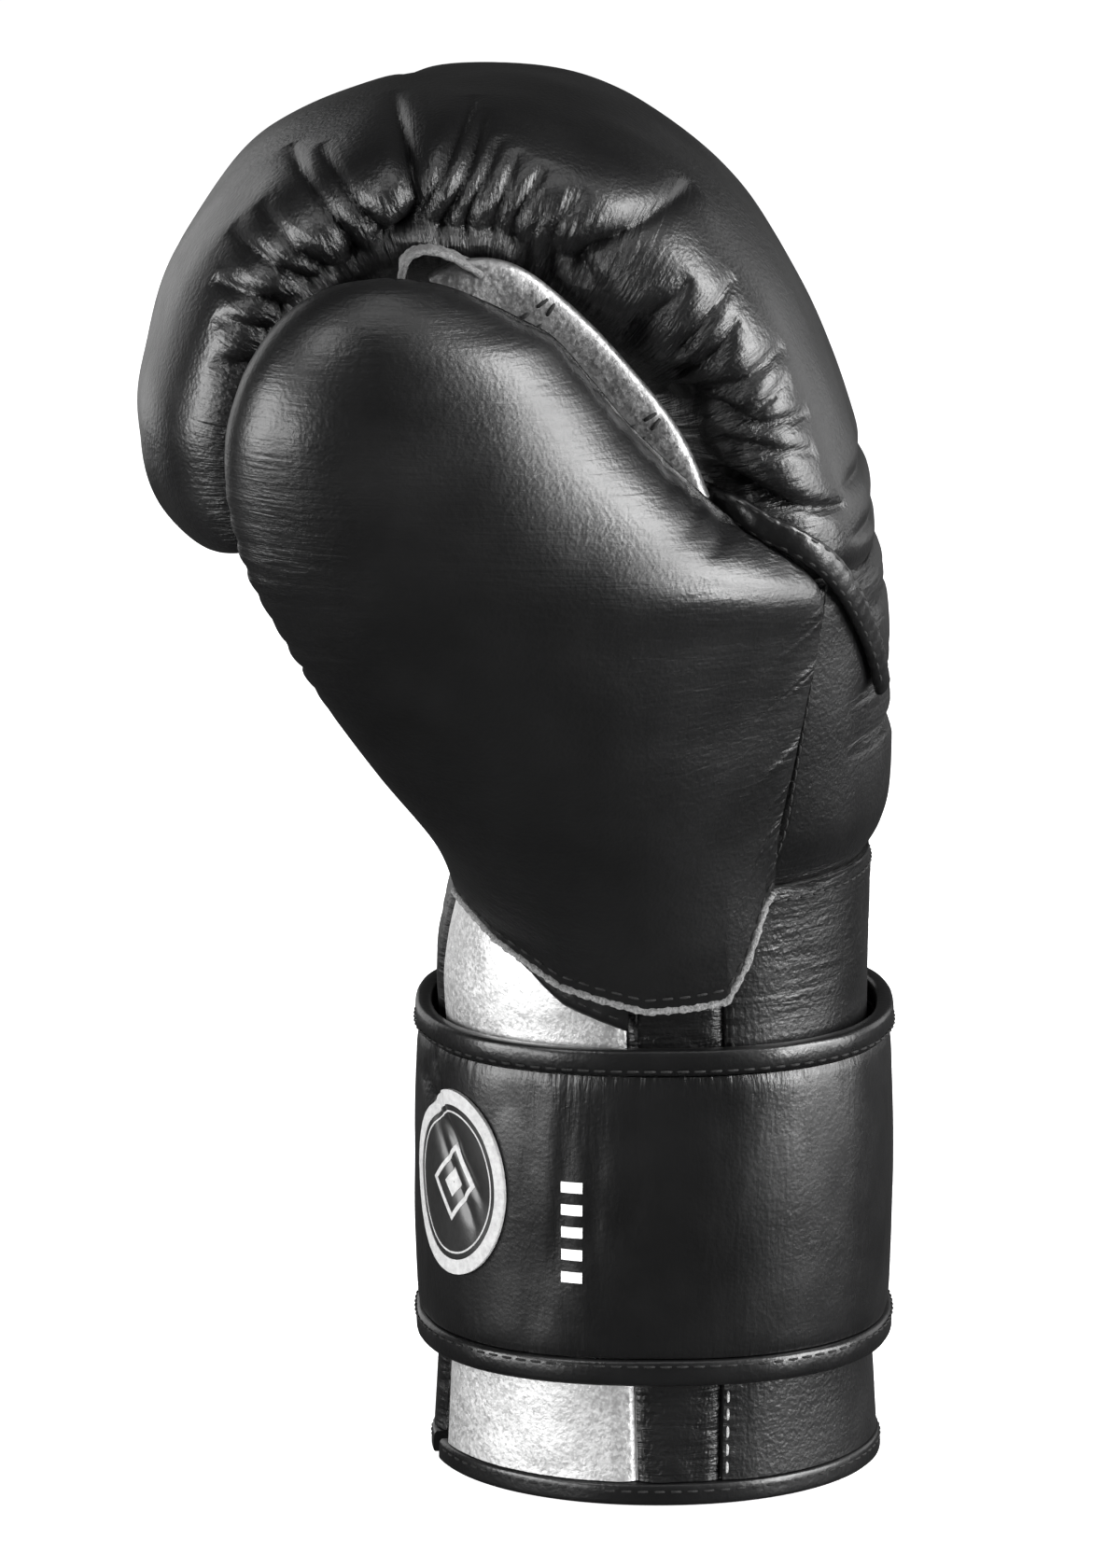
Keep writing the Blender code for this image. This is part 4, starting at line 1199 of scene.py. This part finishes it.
def lay_on(body, rows, outer, inner, from_right):
    """Moves the cover's grids off the hand, so that its lower right edge lies flush at the seam."""
    behind = body_side(body, outer)
    low_part = smooth_step((5.2 - rows) / 1.0)[:, None]
    seam_dip = low_part * np.exp(-from_right / 0.0022)
    outer[..., 1] = smooth_min(outer[..., 1], behind - COVER_THICKNESS * (1 - 0.7 * seam_dip), 0.006)
    outer[..., 1] = np.minimum(outer[..., 1], behind - GAP - 0.0003)
    inner[..., 1] = np.minimum(inner[..., 1], body_side(body, inner) - GAP)
    inner[..., 1] = np.maximum(inner[..., 1], outer[..., 1] + 0.0004)


def scallop(rows, outer, inner, from_left):
    """Waves the cover's gathered lower left edge. Returns how strong the waves are on each line."""
    left_run = run_length(outer[:, 0])
    waves = np.abs(np.sin(math.pi * left_run / SCALLOP_PITCH)) ** 0.7 - 0.62
    lower = smooth_step((rows - 2.6) / 0.8) * smooth_step((6.6 - rows) / 0.6)
    lower = lower * (0.7 + 0.3 * np.sin(left_run / 0.0041))
    bump = (SCALLOP_HEIGHT * waves * lower)[:, None]
    tail = np.exp(-from_left / SCALLOP_FADE)
    outer[..., 0] -= bump * tail
    inner[..., 0] -= bump * np.exp(-run_length(inner, axis=1) / SCALLOP_FADE)
    outer[..., 1] -= 0.5 * bump * tail
    return lower


def right_edge_depth(rows, right_run, from_right):
    """Depth of the creases along the cover's right edge, and how strong its small puckers are."""
    slant = right_run + 0.6 * from_right
    puckers = np.zeros(slant.shape)
    for place in rng.uniform(0.0, float(right_run[-1, 0]), PUCKER_COUNT):
        size = rng.uniform(0.3, 1.0)
        across = np.exp(-np.abs(slant - place) / (PUCKER_WIDTH * size))
        puckers = np.maximum(puckers, size * across * np.exp(-from_right / (PUCKER_REACH * size)))
    shoulder = (0.35 + 0.65 * smooth_step((rows - 3.5) / 1.5))[:, None]
    depth = PUCKER_DEPTH * puckers * shoulder
    for crease in THUMB_CREASES:
        away = np.hypot(slant - crease.start * right_run[-1], VALLEY_ROUNDING) - VALLEY_ROUNDING
        reach = np.exp(-((from_right / crease.length) ** 2))
        depth += crease.depth * np.exp(-away / CREASE_WIDTH) * reach
    return depth, puckers


def thumb(body):
    """The thumb's cover, laid over the hand. Returns its outer face for what is sewn on it."""
    rows = thumb_rows()
    outer, inner = cover_grids(rows, THUMB_COLUMNS)
    from_right = run_length(outer[:, ::-1], axis=1)[:, ::-1]
    lay_on(body, rows, outer, inner, from_right)
    from_left = run_length(outer, axis=1)
    gathered = scallop(rows, outer, inner, from_left)
    right_run = run_length(outer[:, -1])[:, None]
    depth, puckers = right_edge_depth(rows, right_run, from_right)
    soft = smooth_step(from_right / 0.02) * smooth_step(from_left / 0.02)
    depth += lumps(outer, THUMB_LUMPS) * soft
    normals = unit(np.cross(np.gradient(outer, axis=1), np.gradient(outer, axis=0)))
    outer -= depth[..., None] * normals
    crease = 0.8 * puckers + 0.6 * np.exp(-from_left / 0.010) * gathered[:, None] + 0.12
    place = np.stack([right_run + 0 * from_right, from_right, 0 * from_right], axis=-1)
    points, faces = shell(outer, inner)
    made = add_piece("thumb", points, faces, THUMB_BLACK, "black_leather", ["thumb_pad"], crease, place)
    return outer


def inset(grid, distance, last_row=60):
    """The line at a distance in from a grid's first row."""
    run = run_length(grid[:last_row])
    line = []
    for j in range(grid.shape[1]):
        line.append([np.interp(distance, run[:, j], grid[:last_row, j, k]) for k in range(3)])
    return np.array(line)


def cover_edges(cover):
    """The cover's raw hem and the stitches along it."""
    hem = cover[0, 6:-2]
    towards = facing_thumb_side(len(hem))
    wobble = 1 + 0.25 * np.sin(np.arange(len(hem)) * 1.7) * np.sin(np.arange(len(hem)) * 0.6)
    path = hem + [0, 0.0007, -0.0002]
    rings = bar_rings(path, towards, 0.0012 * wobble, 0.0009 * wobble, 8, 3.0)
    add_piece("hem_edge", *tube(rings), RAW, "raw_edge")
    line = inset(cover, 0.0026)[8:-4] + [0, -0.0001, 0]
    stitch_line("hem_stitches", line, np.tile([0.0, -1.0, 0.1], (len(line), 1)))


def strip(body):
    """The silver strip in the crease between thumb and fist, with its cross stitches."""
    low, high = (np.array(corner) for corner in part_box("thumb_strip"))
    table = [[*(low + (high - low) * station[:3]), station.half] for station in STRIP_STATIONS]
    values = smooth_path(table, STRIP_LINES)
    path, half = values[:, :3], values[:, 3]
    path[:, 1] = np.minimum(path[:, 1], body_side(body, path) - 0.0032)
    out = facing_thumb_side(STRIP_LINES)
    thick = np.full(STRIP_LINES, STRIP_HALF_THICKNESS)
    rings = bar_rings(path, np.cross(np.gradient(path, axis=0), out), half, thick, 28, STRIP_SQUARE)
    rings[..., 1] += crumple(rings, STRIP_WRINKLES)
    # Its finish is the silver leather darkened with painted shade.
    add_piece("strip", *tube(rings), SHADED_STRIP_SILVER, "silver_leather", ["thumb_strip"], crease=0.3)
    tangent = unit(np.gradient(path, axis=0))
    across = unit(np.cross(tangent, out))
    for number, at in enumerate(STRIP_STITCHES):
        places = []
        for side in (-0.9, -0.3, 0.3, 0.9):
            slant = 0.0016 * side * (1 if number % 2 else -1)
            lift = STRIP_HALF_THICKNESS * (1 - abs(side) ** STRIP_SQUARE) ** (1 / STRIP_SQUARE)
            aside = across[at] * half[at] * side + tangent[at] * slant
            places.append(path[at] + aside + out[at] * (lift + STITCH_LIFT))
        line = smooth_path(places, 24)
        towards = facing_thumb_side(24)
        stitch_line(f"strip_stitch_{number}", line, towards, pitch=0.0042, length=0.0036, thick=0.0009)


def tab():
    """The raw-edged loop that holds the strip's upper end."""
    places = smooth_path(TAB_STATIONS, 60)
    normals = outward(places[:, 0], places[:, 1])
    towards = facing_thumb_side(60)
    path = section(places[:, 0], places[:, 1]) + 0.0010 * normals + 0.0035 * towards
    half_up = 0.00075 + 0.00012 * np.sin(np.arange(60) * 0.9)
    rings = bar_rings(path, towards, np.full(60, 0.0042), half_up, 16, 5.0)
    add_piece("tab", *tube(rings), RAW, "raw_edge", ["strip_tab"], crease=0.2)


def welt():
    """The piped seam from behind the thumb over the back of the hand, sewn along both its sides."""
    radius = WELT_DIAMETER / 2
    path, normals = wall_path(WELT_STATIONS, 0.8 * radius + GAP, 200)
    swell = 1 + 0.04 * np.sin(run_length(path) / 0.0036 * math.pi) ** 2
    rings = bar_rings(path, normals, radius * 0.80 * swell, radius * 1.65 * swell, 18, 2.4)
    add_piece("welt", *tube(rings), BINDING, "binding_leather", ["thumb_welt"])
    side = unit(np.cross(np.gradient(path, axis=0), normals))
    for name, sign in (("welt_stitches_low", 1), ("welt_stitches_high", -1)):
        line = path + sign * side * radius * 1.2 + normals * radius * 0.55
        stitch_line(name, line[8:-8], normals[8:-8])


def facing():
    """The doubled leather along the palm side of the thumb's foot, with its two rows of stitches."""
    angles = np.linspace(FACING_EDGES[0].degrees, FACING_EDGES[-1].degrees, 70)
    knots = [edge.degrees for edge in FACING_EDGES]
    low = np.interp(angles, knots, [edge.low for edge in FACING_EDGES])
    high = np.interp(angles, knots, [edge.high for edge in FACING_EDGES])
    shares = np.linspace(0, 1, 14)
    at = low[None, :] + shares[:, None] * (high - low)[None, :]
    degrees = np.repeat(angles[None, :], len(shares), axis=0)
    normals = outward(at, degrees)
    base = section(at, degrees)
    lift = COVER_THICKNESS * (1 - 0.5 * (2 * shares - 1) ** 8)[:, None]
    lift = lift + crumple(base, FACING_WRINKLES)
    wall = shell(base + (GAP + lift)[..., None] * normals, base + GAP * normals)
    add_piece("facing", *wall, BINDING, "binding_leather", ["palm_facing"], crease=0.3)
    for name, row in (("facing_stitches_low", 3), ("facing_stitches_high", 10)):
        line = base[row] + (GAP + COVER_THICKNESS) * normals[row]
        stitch_line(name, line[2:-2], normals[row][2:-2])


def seams():
    """The sewn lines on the wall, and the stitches in the grooves across its back."""
    for sewn in SEWN_LINES:
        path, normals = wall_path(sewn.stations, sewn.lift, 120)
        finish = GREY_THREAD if sewn.name == "cuff_seam_gusset" else THREAD
        stitch_line(sewn.name, path, normals, finish, pitch=sewn.pitch)
    for row, _ in RIBS[:SEWN_RIBS]:
        angles = np.linspace(330, 390, 160)
        normals = outward(row, angles)
        depth = rib_depth(row, angles) - STITCH_LIFT
        path = section(row, angles) - depth[:, None] * normals
        stitch_line(f"rib_stitches_{int(row * 100)}", path, normals)


# The strap and the cuff


def band_point(degrees, height, offset):
    """Points round the cuff's widest oval under the strap, at a distance off it."""
    degrees, height, offset = np.broadcast_arrays(degrees, height, offset)
    rows = TABLE[1:5]
    palm = rows[:, 0].min() - offset
    back = rows[:, 2].max() + offset
    half = rows[:, 4].max() + offset
    square = rows[:, 5].max()
    angle = np.radians(degrees)
    share = (1 + bulged(np.cos(angle), square)) / 2
    flat = np.stack([palm + share * (back - palm), half * bulged(np.sin(angle), square), height], axis=-1)
    return flat + ORIGIN


def strap_offset(degrees):
    """How far the strap's inner face lies off the cuff: its last stretch lies over its first."""
    lift = STRAP_THICKNESS + 2 * BINDING_PROUD + GAP
    return STRAP_CLEARANCE + lift * smooth_step((degrees - STRAP_START - 360 + STRAP_LAP) / STRAP_LAP)


def strap_angles(spacing):
    """Angles along the strap, evenly spaced along its length."""
    fine = np.linspace(STRAP_START, STRAP_START + STRAP_TURN, 4001)
    run = run_length(band_point(fine, 0.0, strap_offset(fine)))
    return np.interp(np.arange(0, run[-1], spacing), run, fine)


def strap_outside(degrees, height, lift):
    return band_point(degrees, height, strap_offset(degrees) + STRAP_THICKNESS + lift)


def strap_relief(points, degrees, height):
    """The strap's soft swell, its slanting folds by the palm, and fine wrinkles."""
    middle = STRAP_BASE + STRAP_HEIGHT / 2
    swell = 0.0007 * (1 - ((height - middle) / (STRAP_HEIGHT / 2 - STRAP_BINDING)) ** 2)
    folds = np.zeros(points.shape[:2])
    for fold in STRAP_FOLDS:
        along = np.clip((fold.top - height) / (fold.top - fold.foot), 0, 1)
        centre = fold.start + (fold.end - fold.start) * along
        away = np.radians(degrees - centre) * WRIST_DEPTH / 2
        fade = smooth_step((fold.top - height) / 0.006 + 1)
        fade = fade * smooth_step((height - fold.foot) / 0.012 + 0.5)
        valley = np.exp(-np.hypot(away, 0.0004) / STRAP_FOLD_WIDTH)
        folds += fold.share * STRAP_FOLD_DEPTH * valley * fade
    worn = 0.35 + 0.65 * np.exp(-(((degrees - WORN_ANGLE) / WORN_SPREAD) ** 2))
    fine = crumple(points * [1, 1, 0.35], STRAP_WRINKLES) * worn
    edge = STRAP_HEIGHT / 2 - STRAP_BINDING - np.abs(height - middle)
    tuck = 0.0007 * np.exp(-np.clip(edge, 0, 1) / 0.0016)
    return swell - folds - fine - tuck + lumps(points, STRAP_LUMPS)


def strap():
    """The closure strap, round the cuff and over its own start, with its two bound edges."""
    angles = strap_angles(0.0012)
    low = STRAP_BASE + STRAP_BINDING + GAP / 2
    high = STRAP_BASE + STRAP_HEIGHT - STRAP_BINDING - GAP / 2
    height, degrees = np.meshgrid(np.linspace(low, high, STRAP_LINES), angles, indexing="ij")
    base = strap_outside(degrees, height, 0.0)
    lift = strap_relief(base, degrees, height)
    outer = strap_outside(degrees, height, lift)
    inner = band_point(degrees, height, strap_offset(degrees))
    points, faces = shell(outer, inner)
    crease = np.clip(-lift / 0.0040, 0, 0.2) + 0.06
    place = np.stack([run_length(base, axis=1), height, 0 * height], axis=-1)
    made = add_piece("strap", points, faces, STRAP_BLACK, "black_leather", ["wrist_strap"], crease, place)
    for name, edge, sign in (("low", STRAP_BASE, 1), ("high", STRAP_BASE + STRAP_HEIGHT, -1)):
        strap_binding(name, edge, sign, angles)


def strap_binding(name, edge, sign, angles):
    """The leather folded round one edge of the strap, and its row of stitches."""
    half_thick = STRAP_THICKNESS / 2 + BINDING_PROUD
    half_high = (STRAP_BINDING - GAP / 2) / 2
    turn = np.linspace(0, 2 * math.pi, 20, endpoint=False)
    swell = 1 + 0.04 * np.sin(np.arange(len(angles)) * 0.37) * np.sin(np.arange(len(angles)) * 0.11)
    off = (bulged(np.cos(turn), 3.6) * half_thick)[None, :] * swell[:, None]
    up = edge + sign * half_high + (bulged(np.sin(turn), 3.6) * half_high)[None, :]
    middle = strap_offset(angles)[:, None] + STRAP_THICKNESS / 2
    rings = band_point(angles[:, None], up, middle + off)
    replaced = [f"strap_binding_{name}"]
    add_piece(f"strap_edge_{name}", *tube(rings), BINDING, "binding_leather", replaced, crease=0.15)
    height = edge + sign * (STRAP_BINDING - 0.0014)
    line = strap_outside(angles, height, BINDING_PROUD + STITCH_LIFT)
    ahead = strap_outside(angles + 0.5, height, BINDING_PROUD) - line
    normals = unit(np.cross(ahead, [0.0, 0.0, 1.0]))
    stitch_line(f"strap_stitches_{name}", line[3:-3], normals[3:-3])


def decal(name, degrees, height, thickness, finish, closed=True, nodes=()):
    """A thin flat piece on the strap, given by its grid of angles and heights."""
    lift = strap_relief(strap_outside(degrees, height, 0.0), degrees, height) + PRINT_LIFT
    outer = strap_outside(degrees, height, lift + thickness)
    inner = strap_outside(degrees, height, lift)
    add_piece(name, *shell(outer, inner, closed), finish, "patch_print", nodes)


def ring_places(low, high, rings=4, diamond=False):
    """Angles and heights of a flat ring round the patch's centre, between two shares of its radius."""
    across = math.degrees(PATCH_BREADTH / WRIST_DEPTH)
    turn = np.linspace(0, 2 * math.pi, 96, endpoint=False)[None, :]
    share = np.linspace(low, high, rings)[:, None] * np.ones_like(turn)
    if diamond:
        share = share / (np.abs(np.cos(turn)) + np.abs(np.sin(turn)))
    degrees = PATCH_CENTRE + across * share * np.cos(turn)
    height = STRAP_BASE + STRAP_HEIGHT * PATCH_CENTRE_SHARE + PATCH_HEIGHT / 2 * share * np.sin(turn)
    return degrees, height


def patch():
    """The round patch: a dark disc with a pale border and a plain diamond."""
    decal("patch", *ring_places(0.004, 0.985, 26), PATCH_THICKNESS, DARK_PRINT, nodes=["strap_patch"])
    decal("patch_border", *ring_places(0.84, 1.0, 5), BORDER_THICKNESS, PRINT)
    decal("patch_line", *ring_places(0.755, 0.775, 2), LINE_THICKNESS, PRINT)
    decal("patch_diamond", *ring_places(0.34, 0.42, 3, diamond=True), LINE_THICKNESS, PRINT)
    decal("patch_middle", *ring_places(0.01, 0.16, 4, diamond=True), LINE_THICKNESS, PRINT)


def bars():
    """The plain printed bars beside the patch."""
    angles = np.linspace(BAR_START, BAR_END, 14)
    for number in range(BAR_COUNT):
        heights = BAR_TOP - number * BAR_PITCH + np.array([-1, 0, 1]) * BAR_HALF_HEIGHT
        height, degrees = np.meshgrid(heights, angles, indexing="ij")
        decal(f"print_bar_{number}", degrees, height, BAR_THICKNESS, WHITE_PRINT, closed=False)


def cuff_binding():
    """The leather folded round the cuff's rim, open at the slit."""
    half = math.degrees(SLIT_WIDTH / WRIST_DEPTH)
    fine = np.linspace(HEEL_SEAM + half, HEEL_SEAM + 360 - half, 3001)
    run = run_length(section(0.1, fine))
    angles = np.interp(np.arange(0, run[-1], 0.0014), run, fine)
    heights = np.linspace(0, 1, 14)
    at, degrees = np.meshgrid(heights * BINDING_ROW, angles, indexing="ij")
    bulge = np.sqrt(np.clip(1 - (2 * heights - 1) ** 4, 0, 1))[:, None]
    uneven = 1 + 0.1 * np.sin(np.arange(len(angles)) * 0.21)[None, :]
    lift = BINDING_PROUD + 0.0005 * bulge * uneven - 0.0006
    outer = section(at, degrees) + lift[..., None] * outward(np.clip(at, 0.02, 9), degrees) * [1, 1, 0]
    inner = section(at, degrees, hollow=True)
    inner = inner + (outer - inner) * (0.075 * (1 - bulge))[..., None]
    outer[..., 2] = np.clip(outer[..., 2], 0.0, RIM_TOP)
    wall = shell(outer, inner)
    add_piece("cuff_edge", *wall, BINDING, "binding_leather", ["cuff_binding"], crease=0.2)
    places = [(BINDING_STITCH_ROW, a) for a in np.linspace(HEEL_SEAM + 6, HEEL_SEAM + 354, 60)]
    stitch_line("cuff_stitches", *wall_path(places, 0.0004, 500))


# The studio


def glow(light):
    """A soft area light that faces the glove."""
    data = bpy.data.lights.new(light.name, "AREA")
    data.shape = "RECTANGLE"
    data.size, data.size_y = light.size
    data.energy = light.power
    made = bpy.data.objects.new(light.name, data)
    made.location = light.place
    away = Vector(LIGHTS_AIM) - Vector(light.place)
    made.rotation_euler = away.to_track_quat("-Z", "Y").to_euler()
    bpy.context.scene.collection.objects.link(made)


def floor_piece():
    """The plain pale floor, which glows so that it stays as white as the photo's ground."""
    finish, tree, shader = new_material("floor", grey(0.86), 0.9)
    shader.inputs["Specular IOR Level"].default_value = 0.1
    shader.inputs["Emission Color"].default_value = (1, 1, 1, 1)
    shader.inputs["Emission Strength"].default_value = 0.86
    tint(tree, shader, noise_on(tree, coordinates(tree), 3.0), grey(0.84), grey(0.88))
    work = bmesh.new()
    bmesh.ops.create_circle(work, cap_ends=True, segments=96, radius=FLOOR_RADIUS)
    mesh = bpy.data.meshes.new("floor")
    work.to_mesh(mesh)
    work.free()
    mesh.materials.append(finish)
    floor = bpy.data.objects.new("floor", mesh)
    floor.location = (0, 0, -FLOOR_DROP)
    floor.visible_glossy = False
    bpy.context.scene.collection.objects.link(floor)


def studio():
    """Pale surroundings, the floor and the lights."""
    scene = bpy.context.scene
    scene.view_settings.view_transform = "Standard"
    world = bpy.data.worlds.new("studio")
    world.use_nodes = True
    background = world.node_tree.nodes["Background"]
    background.inputs["Color"].default_value = (1, 1, 1, 1)
    background.inputs["Strength"].default_value = 0.05
    scene.world = world
    floor_piece()
    for light in LIGHTS:
        glow(light)


def camera():
    """The camera, looking down a little at the thumb's side."""
    data = bpy.data.cameras.new("camera")
    data.lens = CAMERA_LENS
    data.sensor_width = 36
    data.clip_end = 50
    made = bpy.data.objects.new("camera", data)
    drop = math.radians(CAMERA_DROP)
    away = Vector((0, -math.cos(drop), math.sin(drop))) * CAMERA_DISTANCE
    made.location = Vector(AIM) + away
    made.rotation_euler = (-away).to_track_quat("-Z", "Y").to_euler()
    bpy.context.scene.collection.objects.link(made)
    bpy.context.scene.camera = made


camera()
studio()
fist()
panels()
hand = body_surface()
cover = thumb(hand)
cover_edges(cover)
strip(hand)
tab()
welt()
facing()
seams()
strap()
patch()
bars()
cuff_binding()
